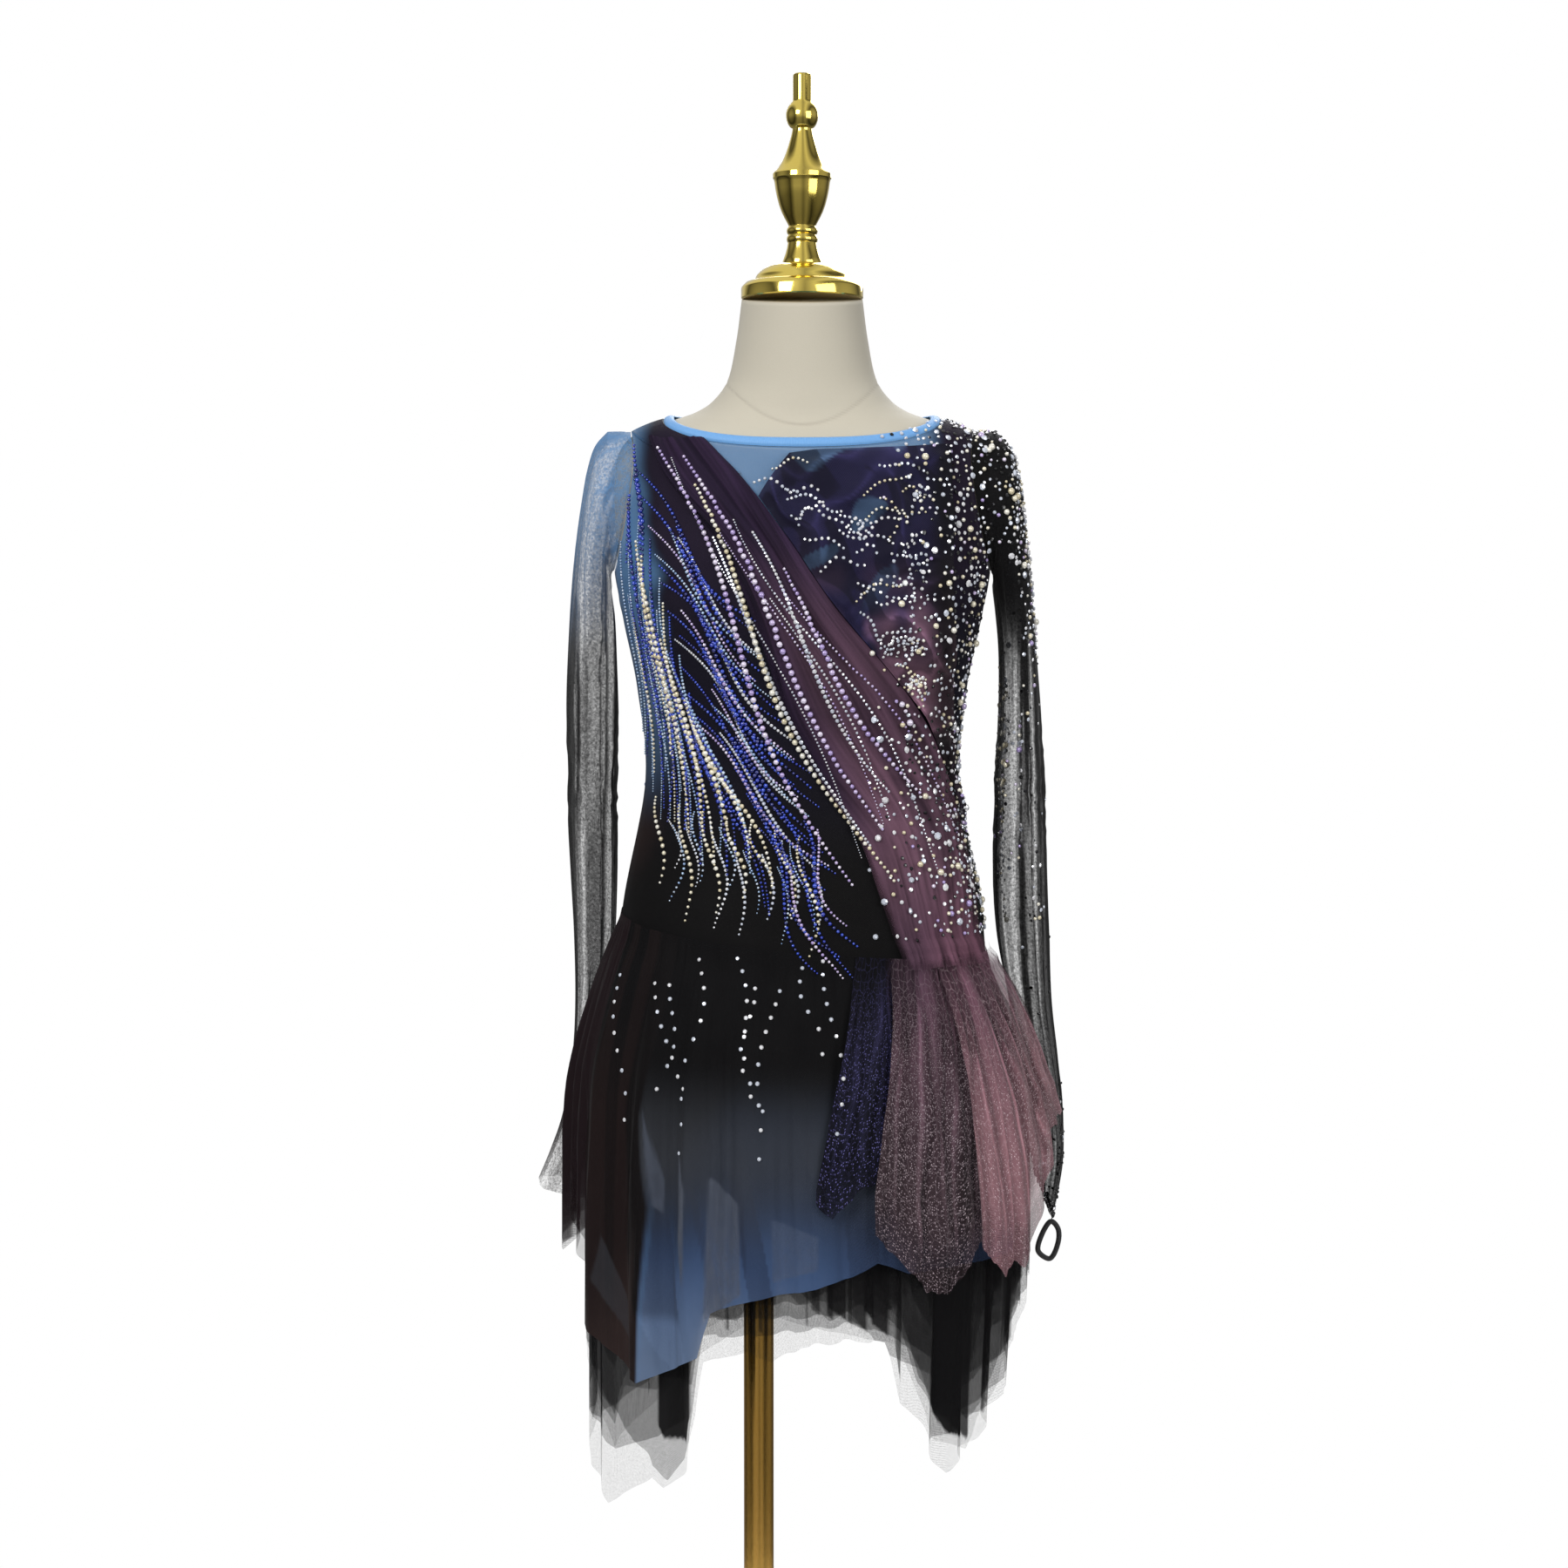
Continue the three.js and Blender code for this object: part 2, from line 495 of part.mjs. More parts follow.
function skirtPoint(angle, fall, layer, folds) {
  const read = (column) => along(skirtRings, "fall", column, fall);
  const s = Math.sin(radians(angle));
  const c = Math.cos(radians(angle));
  const inset = layer * (layerStep.top + layerStep.growth * Math.min(fall, layerStep.until));
  const opening = clamp(fall / 190, 0, 1);
  const turned = angle > 180 ? angle - 360 : angle;
  const square = 2 / lerp(2.2, 2, clamp(fall / 130, 0, 1));
  let move = -inset;
  for (const fold of folds)
    move += fold.rise * opening * swell((angle - fold.at - (fold.lean ?? 0) * fall / 100) / fold.width);
  for (const dent of sleeveDents) move += dent.rise * opening * swell((turned - dent.at) / dent.width);
  // Where the hips press, the layers lie on the brief, one on another.
  const step = stepAt(seamHeight(angle) - fall);
  const slack = lerp(layerStep.seamRest, layerStep.rest, clamp(fall / layerStep.restFrom, 0, 1));
  const rest = dressLift + slack + (2 - layer) * layerStep.top;
  const reach = (skirtColumn, formColumn) =>
    Math.max(read(skirtColumn) + move, along(formRings, "step", formColumn, step) + rest);
  return new THREE.Vector3(
    reach(s > 0 ? "left" : "right", "side") * power(s, square),
    -(c > 0 ? reach("front", "front") : reach("back", "back")) * power(c, square),
    seamHeight(angle) - fall,
  );
}

// The panels that show are sewn on at the seam (top 0.1), and the layers under them a little below it.

// Columns of a skirt panel: its edges, each fold's feet and crest, and each corner of its hem.
function foldColumns(from, to, folds, hem, widest) {
  const wanted = [from, to, ...hem.map((corner) => corner.at)];
  for (const fold of folds) wanted.push(fold.at - fold.width, fold.at, fold.at + fold.width);
  const sorted = wanted.filter((angle) => angle >= from && angle <= to).sort((a, b) => a - b);
  const columns = [sorted[0]];
  for (const angle of sorted.slice(1)) {
    const gap = angle - columns[columns.length - 1];
    if (gap < 1.3 && angle < to) continue;
    const parts = Math.ceil(gap / widest);
    const start = columns[columns.length - 1];
    for (let k = 1; k <= parts; k += 1) columns.push(start + gap * k / parts);
  }
  if (columns.length > 2 && columns[columns.length - 1] - columns[columns.length - 2] < 1.3)
    columns.splice(columns.length - 2, 1);
  return columns.map((angle) => (angle - from) / (to - from));
}

const topRows = [16, 36]; // every layer has rows at these falls, so that they lie evenly on each other

// The fall at a share of a panel's rows, from its top edge to its hem.
function fallAt(v, rows, top, bottom) {
  const falls = [top, ...topRows];
  const row = v * rows;
  const i = Math.floor(row + 1e-9);
  if (i >= topRows.length) return lerp(falls[topRows.length], bottom, (row - topRows.length) / (rows - topRows.length));
  return lerp(falls[i], falls[i + 1], row - i);
}
function skirtPanel(name, colour, { from, to, top, layer, folds, hem, rows, widest = 7 }) {
  const surface = (u, v) => {
    const angle = lerp(from, to, u);
    const bottom = seamHeight(angle) - straight(hem, "at", "z", angle);
    return skirtPoint(angle, fallAt(v, rows, top, bottom), layer, folds);
  };
  return clothWall(name, colour, { surface, across: foldColumns(from, to, folds, hem, widest), down: evenly(rows) });
}

const frontPanel = {
  from: -66, to: 62, top: 0.1, layer: 0, rows: 9,
  folds: [
    { at: -62, width: 8, rise: 4 },
    { at: -50, width: 6, rise: -3.5 },
    { at: -42, width: 5.5, rise: 11 },
    { at: -36, width: 4, rise: -3.5 },
    { at: -28, width: 5.5, rise: 8.5 },
    { at: -21.5, width: 3.5, rise: -3.5 },
    { at: -13, width: 6, rise: 6.5 },
    { at: -5, width: 3.5, rise: -3 },
    { at: 3, width: 5.5, rise: 4 },
    { at: 11, width: 4.5, rise: -3 },
    { at: 40, width: 9, rise: -2.5 },
  ],
  hem: [
    { at: -66, z: 480 }, { at: -42, z: 441 }, { at: -25.5, z: 468 }, { at: -23, z: 505 }, { at: -15, z: 516 },
    { at: 0, z: 526 }, { at: 12, z: 537 }, { at: 18, z: 549 }, { at: 26, z: 538 }, { at: 62, z: 545 },
  ],
};
const rightSidePanel = {
  from: -131, to: -67.5, top: 0.1, layer: 1, rows: 8,
  folds: [
    { at: -122, width: 7, rise: 3 },
    { at: -93, width: 5, rise: 14 },
    { at: -84, width: 4.5, rise: 7.5 },
    { at: -76.5, width: 4.5, rise: 6 },
  ],
  hem: [
    { at: -131, z: 520 }, { at: -112, z: 505 }, { at: -99, z: 552 }, { at: -92, z: 530 }, { at: -84, z: 565 }, { at: -78, z: 538 },
    { at: -67.5, z: 520 },
  ],
};
const middlePanel = {
  from: -66.5, to: 95, top: 5, layer: 1, rows: 7,
  folds: [
    { at: -58, width: 6, rise: -4 },
    { at: -30, width: 4.5, rise: -4 },
    { at: -8, width: 5, rise: -4 },
    { at: 20, width: 4.5, rise: -4 },
    { at: 36, width: 4, rise: -4.2 },
    { at: 52, width: 5, rise: -4 },
    { at: 74, width: 6, rise: 3.5 },
  ],
  hem: [
    { at: -66.5, z: 430 }, { at: -58, z: 376 }, { at: -40, z: 424 }, { at: -26, z: 470 }, { at: -10, z: 505 }, { at: 8, z: 490 },
    { at: 24, z: 478 }, { at: 36, z: 392 }, { at: 46, z: 381 }, { at: 64, z: 452 }, { at: 80, z: 520 }, { at: 95, z: 505 },
  ],
};
const underFront = {
  from: -93, to: 93, top: 10, layer: 2, rows: 7,
  folds: [
    { at: -84, width: 5, rise: -9 },
    { at: -71, width: 5, rise: -10 },
    { at: -58, width: 4.5, rise: -8 },
    { at: -46, width: 4, rise: -12 },
    { at: -35, width: 4, rise: -13 },
    { at: -25, width: 3.5, rise: -9 },
    { at: -15, width: 3.5, rise: -10 },
    { at: -4.5, width: 3, rise: -13 },
    { at: 4, width: 3, rise: -12 },
    { at: 12, width: 3, rise: -13 },
    { at: 20, width: 3, rise: -11 },
    { at: 29, width: 3.5, rise: -12 },
    { at: 39, width: 4, rise: -13 },
    { at: 50, width: 4.5, rise: -12 },
    { at: 62, width: 5, rise: -11 },
    { at: 75, width: 5, rise: -9 },
    { at: 86, width: 4.5, rise: -8 },
  ],
  hem: [
    { at: -93, z: 470 }, { at: -82, z: 380 }, { at: -76, z: 350 }, { at: -62, z: 324 }, { at: -43, z: 356 }, { at: -39, z: 348 },
    { at: -33, z: 364 }, { at: -29, z: 415 }, { at: -27, z: 460 }, { at: -15, z: 470 }, { at: -8, z: 463 }, { at: 0, z: 475 },
    { at: 12, z: 480 }, { at: 22, z: 478 }, { at: 26, z: 432 }, { at: 34, z: 402 }, { at: 38, z: 376 }, { at: 42, z: 360 },
    { at: 62, z: 402 }, { at: 72, z: 432 }, { at: 80, z: 492 }, { at: 93, z: 480 },
  ],
};
const backPanel = {
  from: 96.5, to: 228, top: 0.1, layer: 1, rows: 6,
  folds: [
    { at: 108, width: 6, rise: 3 },
    { at: 134, width: 7, rise: 5 },
    { at: 150, width: 6, rise: -3.5 },
    { at: 164, width: 7, rise: 7 },
    { at: 178, width: 6, rise: -3.5 },
    { at: 193, width: 8, rise: 6 },
    { at: 209, width: 6, rise: -3 },
    { at: 221, width: 6, rise: 4 },
  ],
  hem: [
    { at: 96.5, z: 505 }, { at: 112, z: 470 }, { at: 132, z: 505 }, { at: 150, z: 460 }, { at: 172, z: 520 }, { at: 196, z: 450 },
    { at: 213, z: 500 }, { at: 228, z: 470 },
  ],
};
const underBack = {
  from: 94.5, to: 265.5, top: 10, layer: 2, rows: 6,
  folds: [
    { at: 104, width: 6, rise: -7 },
    { at: 126, width: 6, rise: -9 },
    { at: 145, width: 6, rise: -10 },
    { at: 163, width: 6, rise: -9 },
    { at: 181, width: 6, rise: -10 },
    { at: 199, width: 6, rise: -9 },
    { at: 217, width: 6, rise: -10 },
    { at: 236, width: 6, rise: -8 },
    { at: 256, width: 6, rise: -7 },
  ],
  hem: [
    { at: 94.5, z: 478 }, { at: 112, z: 440 }, { at: 128, z: 386 }, { at: 150, z: 430 }, { at: 180, z: 465 }, { at: 210, z: 430 },
    { at: 232, z: 382 }, { at: 248, z: 440 }, { at: 265.5, z: 470 },
  ],
};

// Three tulle petals over the left of the skirt. Their edges swing outwards as they fall.
const tulleEdges = {
  navy: { topFrom: 14, from: 3, topTo: 26, to: 21 },
  plum: { topFrom: 25, from: 16, topTo: 56, to: 52 },
  rose: { topFrom: 42, from: 41, topTo: 94, to: 100 },
};
const tulles = {
  navy: {
    layer: -1, rows: 9, colour: 0x17172b, flare: 0,
    folds: [{ at: 10, width: 4, rise: 2.5 }, { at: 18, width: 3.5, rise: 2 }],
    hem: [{ u: 0, z: 600 }, { u: 0.2, z: 588 }, { u: 0.55, z: 612 }, { u: 1, z: 622 }],
  },
  plum: {
    layer: -2.1, rows: 9, colour: 0x5a4653, flare: 0,
    folds: [
      { at: 24, width: 3.5, rise: 3 }, { at: 31, width: 3.5, rise: 4.5 }, { at: 38, width: 3, rise: 3.5 }, { at: 45, width: 3, rise: 4 },
    ],
    hem: [{ u: 0, z: 575 }, { u: 0.34, z: 526 }, { u: 0.51, z: 521 }, { u: 0.62, z: 541 }, { u: 0.75, z: 562 }, { u: 1, z: 575 }],
  },
  rose: {
    layer: -3.3, rows: 9, colour: 0x8a5a6c, flare: 4,
    folds: [
      { at: 39, width: 3, rise: 4 }, { at: 47, width: 3, rise: 3 }, { at: 54, width: 3.5, rise: 5 }, { at: 61, width: 3, rise: 4 }, { at: 68, width: 3.5, rise: 5.5 },
      { at: 76, width: 3.5, rise: 5 }, { at: 85, width: 4.5, rise: 6 }, { at: 94, width: 4, rise: 4 },
    ],
    hem: [
      { u: 0, z: 560 }, { u: 0.06, z: 548 }, { u: 0.12, z: 532 }, { u: 0.17, z: 544 }, { u: 0.22, z: 538 }, { u: 0.3, z: 563 },
      { u: 0.35, z: 585 }, { u: 0.53, z: 642 }, { u: 0.66, z: 652 }, { u: 1, z: 660 },
    ],
  },
};
function tulle(name) {
  const petal = tulles[name];
  const edges = tulleEdges[name];
  const surface = (u, v) => {
    const hem = seamHeight(lerp(edges.from, edges.to, u)) - straight(petal.hem, "u", "z", u);
    const fall = fallAt(v, petal.rows, 0.5, hem);
    const swing = clamp(fall / 190, 0, 1);
    const angle = lerp(lerp(edges.topFrom, edges.from, swing), lerp(edges.topTo, edges.to, swing), u);
    const point = skirtPoint(angle, fall, petal.layer, petal.folds);
    const flare = petal.flare * swing * swell(clamp((angle - 86) / 50, -1, 1));
    return point.add(new THREE.Vector3(flare, 0, 0));
  };
  const columns = Math.round((edges.to - edges.from) / 3.4);
  return clothWall(`tulle_${name}`, petal.colour, { surface, across: evenly(columns), down: evenly(petal.rows) });
}

// ---- The whole object ----
const body = new THREE.Group();
body.position.x = bodyOffset;
body.add(
  dressForm(),
  neckFinial(),
  bodicePanel("bodice_front", 0x27405f, 0, 16, 7),
  bodicePanel("bodice_back", 0x1a2433, 180, 16, 6),
  neckBinding(),
  brief(),
  sash(),
  yoke(),
  sleeve("sleeve_right", 0x5f7c98, -1, rightSleeve),
  sleeve("sleeve_left", 0x0d0e10, 1, leftSleeve),
  fingerLoop(),
  skirtPanel("skirt_front", 0x2c3a52, frontPanel),
  skirtPanel("skirt_side", 0x1c1416, rightSidePanel),
  skirtPanel("skirt_middle", 0x101013, middlePanel),
  skirtPanel("skirt_under_front", 0x0c0c0e, underFront),
  skirtPanel("skirt_back", 0x141318, backPanel),
  skirtPanel("skirt_under_back", 0x0c0c0e, underBack),
  tulle("navy"),
  tulle("plum"),
  tulle("rose"),
);
const skatingDress = new THREE.Group();
skatingDress.add(body, ...stand());
export default skatingDress;
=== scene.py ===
import json
import math
import bpy
import numpy as np
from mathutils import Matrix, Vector
from mathutils.bvhtree import BVHTree

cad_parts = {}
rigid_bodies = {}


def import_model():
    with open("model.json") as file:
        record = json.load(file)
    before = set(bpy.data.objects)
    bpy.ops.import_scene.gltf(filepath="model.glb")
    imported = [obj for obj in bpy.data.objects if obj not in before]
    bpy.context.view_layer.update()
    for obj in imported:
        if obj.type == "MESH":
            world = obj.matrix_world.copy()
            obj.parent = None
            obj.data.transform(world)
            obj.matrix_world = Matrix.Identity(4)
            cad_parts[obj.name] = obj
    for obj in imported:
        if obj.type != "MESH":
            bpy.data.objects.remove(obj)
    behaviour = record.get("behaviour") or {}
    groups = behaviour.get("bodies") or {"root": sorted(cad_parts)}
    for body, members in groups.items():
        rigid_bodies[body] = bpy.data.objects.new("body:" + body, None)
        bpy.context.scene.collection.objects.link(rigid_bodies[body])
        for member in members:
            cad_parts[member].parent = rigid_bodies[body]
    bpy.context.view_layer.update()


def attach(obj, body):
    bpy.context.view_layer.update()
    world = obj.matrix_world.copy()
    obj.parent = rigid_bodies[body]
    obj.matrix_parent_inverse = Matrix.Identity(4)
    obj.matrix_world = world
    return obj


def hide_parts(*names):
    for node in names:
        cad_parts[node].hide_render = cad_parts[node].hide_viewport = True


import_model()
for thing in bpy.data.objects:
    thing.select_set(False)
print("frame loaded")

bodyOffset = 37.5  # mm, the form stands this far to the wearer's left of the pole
neckTop = 1352  # mm, where the brass cap sits
neckLean = 5  # degrees, how far the cap tips
formClearance = 2.7
clothThickness = 1.2
dressLift = formClearance + clothThickness
overlayLift = dressLift + 2.9 + clothThickness
rng = np.random.default_rng(41)


# small helpers
def smooth(x, low, high):
    s = np.clip((x - low) / (high - low), 0, 1)
    return s * s * (3 - 2 * s)


def swell(x):
    return np.where(np.abs(x) < 1, (1 + np.cos(math.pi * np.clip(x, -1, 1))) / 2, 0)


def lerp(a, b, t):
    return a + (b - a) * t


def power(x, p):
    return np.sign(x) * np.abs(x) ** p


def softNoise(x, y, seed=0):
    # smooth bumps one unit apart, from -1 to 1
    xi, yi = np.floor(x), np.floor(y)
    u, v = x - xi, y - yi
    u, v = u * u * (3 - 2 * u), v * v * (3 - 2 * v)

    def corner(i, j):
        h = np.sin(i * 127.1 + j * 311.7 + seed * 74.7) * 43758.5453
        return (h - np.floor(h)) * 2 - 1

    top = lerp(corner(xi, yi), corner(xi + 1, yi), u)
    low = lerp(corner(xi, yi + 1), corner(xi + 1, yi + 1), u)
    return lerp(top, low, v)


def ridge(x, y, seed):
    # sharp crests with round hollows between them, from -1 to 1
    return 1 - 2 * np.abs(softNoise(x, y, seed))


def doubled(x, y, seed, low=0.0, soft=0.08):
    # where cloth lies folded over itself: bands with hard edges, 0 or 1
    return smooth(softNoise(x, y, seed), low, low + soft)


def colour(red, green, blue):
    # screen values to the linear ones that shaders use
    c = np.array([red, green, blue]) / 255
    return np.where(c < 0.04045, c / 12.92, ((c + 0.055) / 1.055) ** 2.4)


def blend(a, b, t):
    t = np.asarray(t)[..., None]
    return np.asarray(a) * (1 - t) + np.asarray(b) * t


def along(table, place, column, at):
    # one column of a table, read between its rows along a smooth curve
    x = np.array(table[place], float)
    y = np.array(table[column], float)
    last = len(x) - 1
    i = np.clip(np.searchsorted(x, at) - 1, 0, last - 1)
    k = np.arange(last + 1)
    before, after = np.maximum(k - 1, 0), np.minimum(k + 1, last)
    slope = (y[after] - y[before]) / (x[after] - x[before])
    span = x[i + 1] - x[i]
    s = np.clip((at - x[i]) / span, 0, 1)
    rise = y[i + 1] - y[i]
    bendIn, bendOut = slope[i] * span - rise, rise - slope[i + 1] * span
    return y[i] + rise * s + s * (1 - s) * (bendIn * (1 - s) + bendOut * s)


def standFor(piece, node):
    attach(piece, "root")
    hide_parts(node)


# the form's surface, which the dress is cut to
formRings = {
    "z": [645, 735, 830, 940, 1020, 1080, 1125, 1180, 1215, 1233, 1243, 1250, 1257, 1267, 1285, 1318, neckTop],
    "side": [154.5, 156.5, 151, 131, 137.5, 149.5, 157.5, 160.5, 158.5,
             148.5, 130.5, 108.5, 89.2, 75, 63, 56, 51.5],
    "front": [105.8, 105.8, 99.8, 89.8, 98.8, 109.8, 104.8, 90.8, 77.8,
              68.8, 64.7, 61.1, 58.8, 57, 54.5, 52.5, 51.5],
    "back": [113.8, 117.8, 105.8, 79.8, 83.8, 89.8, 93.8, 91.8, 85.8,
             77.8, 71.7, 65.7, 60.3, 57, 54.5, 52.5, 51.5],
    "square": [2.2, 2.2, 2.2, 2.15, 2.2, 2.3, 2.3, 2.3, 2.2, 2.1, 2, 2, 2, 2, 2, 2, 2],
    "drop": [0] * 16 + [math.tan(math.radians(neckLean))],
}
formRings["step"] = list(range(17))
neckline = {"middle": 9.1, "shoulder": 11, "curve": 2.75, "backMiddle": 10.2, "binding": 9}
armhole = {"bottom": 5.9, "top": 9.3, "front": 30, "back": 26}
hipRow = 1.85
seamGap = 0.9


def ringPoint(angle, step):
    side, front, back, square, drop, z = (
        along(formRings, "step", c, step) for c in ("side", "front", "back", "square", "drop", "z"))
    s, c = np.sin(np.radians(angle)), np.cos(np.radians(angle))
    y = -np.where(c > 0, front, back) * power(c, 2 / square)
    return np.stack([side * power(s, 2 / square), y, z + drop * y], -1)


def formPoint(angle, step, lift):
    angle, step = np.broadcast_arrays(np.asarray(angle, float), np.asarray(step, float))
    across = ringPoint(angle + 1, step) - ringPoint(angle - 1, step)
    up = ringPoint(angle, step) - ringPoint(angle, step - 0.01)
    normal = np.cross(across, up)
    normal /= np.linalg.norm(normal, axis=-1, keepdims=True)
    return ringPoint(angle, step) + normal * np.asarray(lift, float)[..., None]


stepTable = np.linspace(0, 16, 1601)
heightTable = along(formRings, "step", "z", stepTable)


def stepAt(height):
    return np.interp(height, heightTable, stepTable)


def seamHeight(angle):
    return 812 - 15 * np.sin(np.radians(angle)) - 10 * np.cos(np.radians(angle))


def neckStep(angle):
    middle = np.where(np.cos(np.radians(angle)) > 0, neckline["middle"], neckline["backMiddle"])
    return lerp(middle, neckline["shoulder"], np.abs(np.sin(np.radians(angle))) ** neckline["curve"])


def underBinding(angle, width):
    step = neckStep(angle)
    length = np.linalg.norm(ringPoint(angle, step) - ringPoint(angle, step - 0.5), axis=-1) / 0.5
    return step - width / length


def panelPoint(facing, u, row, lift):
    shoulder = underBinding(90, neckline["binding"] + seamGap)
    spread = u * 2 - 1
    hole = (row - armhole["bottom"]) / (armhole["top"] - armhole["bottom"]) * 2 - 1
    turn = np.arccos(np.clip(hole, -1, 1))
    edge = 89.85 - armhole["front" if facing == 0 else "back"] * np.sin(turn)
    angle = facing + spread * edge
    top = underBinding(facing + spread * 90, neckline["binding"] + seamGap)
    step = hipRow + (row - hipRow) * (top - hipRow) / (shoulder - hipRow)
    toHip = np.clip((armhole["bottom"] - row) / (armhole["bottom"] - hipRow), 0, 1)
    return formPoint(angle, step + toHip * (stepAt(seamHeight(angle)) - hipRow), lift + 0 * u)


def frontPoint(x, height, lift):
    step = stepAt(height)
    side, square = along(formRings, "step", "side", step), along(formRings, "step", "square", step)
    share = np.clip(x / side, -0.999, 0.999)
    angle = np.degrees(np.arcsin(power(share, square / 2)))
    return formPoint(angle, step, lift)


# cloth, as grids of points in millimetres
clothGrids = {}  # name: (points, normals), for the beads sewn on later


def normalsOf(points, ring):
    if ring:
        wide = np.concatenate([points[:, -2:-1], points, points[:, 1:2]], 1)
        across = wide[:, 2:] - wide[:, :-2]
    else:
        across = np.gradient(points, axis=1)
    down = np.gradient(points, axis=0)
    n = np.cross(down, across)
    return n / np.maximum(np.linalg.norm(n, axis=-1, keepdims=True), 1e-9)


def gridFaces(wide, tall, ring=False):
    # the quads of a grid of points, and each of their corners' columns and rows
    i, j = np.meshgrid(np.arange(wide - 1), np.arange(tall - 1))
    i, j = i.ravel(), j.ravel()
    corners = [(i, j), (i, j + 1), (i + 1, j + 1), (i + 1, j)]
    keep = wide - 1 if ring else wide
    return np.stack([b * keep + (a % keep) for a, b in corners], 1), corners


def addMesh(name, points, faces, material, rounded=True):
    # points in mm, measured from the middle of the form
    mesh = bpy.data.meshes.new(name)
    world = (points.reshape(-1, 3) + [bodyOffset, 0, 0]) / 1000
    mesh.from_pydata(world.tolist(), [], faces)
    mesh.polygons.foreach_set("use_smooth", np.full(len(faces), rounded))
    mesh.materials.append(material)
    mesh.update()
    piece = bpy.data.objects.new(name, mesh)
    bpy.context.collection.objects.link(piece)
    return piece


def addDye(mesh, dye):
    full = np.concatenate([dye, np.ones((len(dye), 1))], 1).astype(np.float32)
    mesh.color_attributes.new("dye", "FLOAT_COLOR", "POINT").data.foreach_set("color", full.ravel())


def addValue(mesh, name, values):
    layer = mesh.attributes.new(name, "FLOAT", "POINT")
    layer.data.foreach_set("value", values.astype(np.float32))


def makeCloth(name, surface, columns, rows, paint, material,
              ring=False, relief=None, down=None):
    u = np.linspace(0, 1, columns + 1)
    levels = np.linspace(0, 1, rows + 1) if down is None else down
    u, v = np.meshgrid(u, levels)
    points = surface(u, v)
    if relief is not None:
        points = points + normalsOf(points, ring) * relief(u, v, points)[..., None]
    clothGrids[name] = (points, normalsOf(points, ring))
    wide, tall = points.shape[1], points.shape[0]
    keep = wide - 1 if ring else wide
    faces, corners = gridFaces(wide, tall, ring)
    piece = addMesh(name, points[:, :keep], faces.tolist(), material)
    mesh = piece.data
    acrossLength = np.linalg.norm(np.diff(points, axis=1), axis=-1).sum(1).max()
    downLength = np.linalg.norm(np.diff(points, axis=0), axis=-1).sum(0).max()
    spots = [(a / (wide - 1) * acrossLength, levels[b] * downLength) for a, b in corners]
    uv = np.stack([np.stack(spot, -1) for spot in spots], 1)
    mesh.uv_layers.new(name="UVMap").data.foreach_set("uv", (uv / 1000).ravel())
    dye, cover, *plies = paint(u, v, points)
    addDye(mesh, np.broadcast_to(dye, points.shape)[:, :keep].reshape(-1, 3))
    cover = np.broadcast_to(cover, points.shape[:2])[:, :keep].reshape(-1)
    addValue(mesh, "cover", np.clip(cover, 0, 1))
    for ply in plies:
        ply = ply[:, :keep].reshape(-1, 3).astype(np.float32)
        mesh.attributes.new("plies", "FLOAT_VECTOR", "POINT").data.foreach_set("vector", ply.ravel())
    diagonal = points[1:, 1:] - points[:-1, :-1]
    other = points[1:, :-1] - points[:-1, 1:]
    area = np.linalg.norm(np.cross(diagonal, other), axis=-1).sum() / 2e6
    flat = (acrossLength / 1000, downLength / 1000)
    standFor(piece, name.replace("cloth_", ""))
    share = min(max(area / (flat[0] * flat[1]), 0.3), 1)
    share * flat[0] * flat[1]


# shader helpers
class Wire:
    # a socket that can be reckoned with
    def __init__(self, shader, socket):
        self.shader, self.socket = shader, socket

    def math(self, operation, *others, clamp=False):
        node = self.shader.node("ShaderNodeMath", {"operation": operation, "use_clamp": clamp},
                                dict(enumerate((self,) + others)))
        return Wire(self.shader, node.outputs[0])

    def __add__(self, other):
        return self.math("ADD", other)

    def __sub__(self, other):
        return self.math("SUBTRACT", other)

    def __mul__(self, other):
        return self.math("MULTIPLY", other)

    __radd__, __rmul__ = __add__, __mul__

    def __rsub__(self, other):
        return (self * -1).math("ADD", other)

    def over(self, level):
        return self.math("GREATER_THAN", level)

    def under(self, level):
        return self.math("LESS_THAN", level)


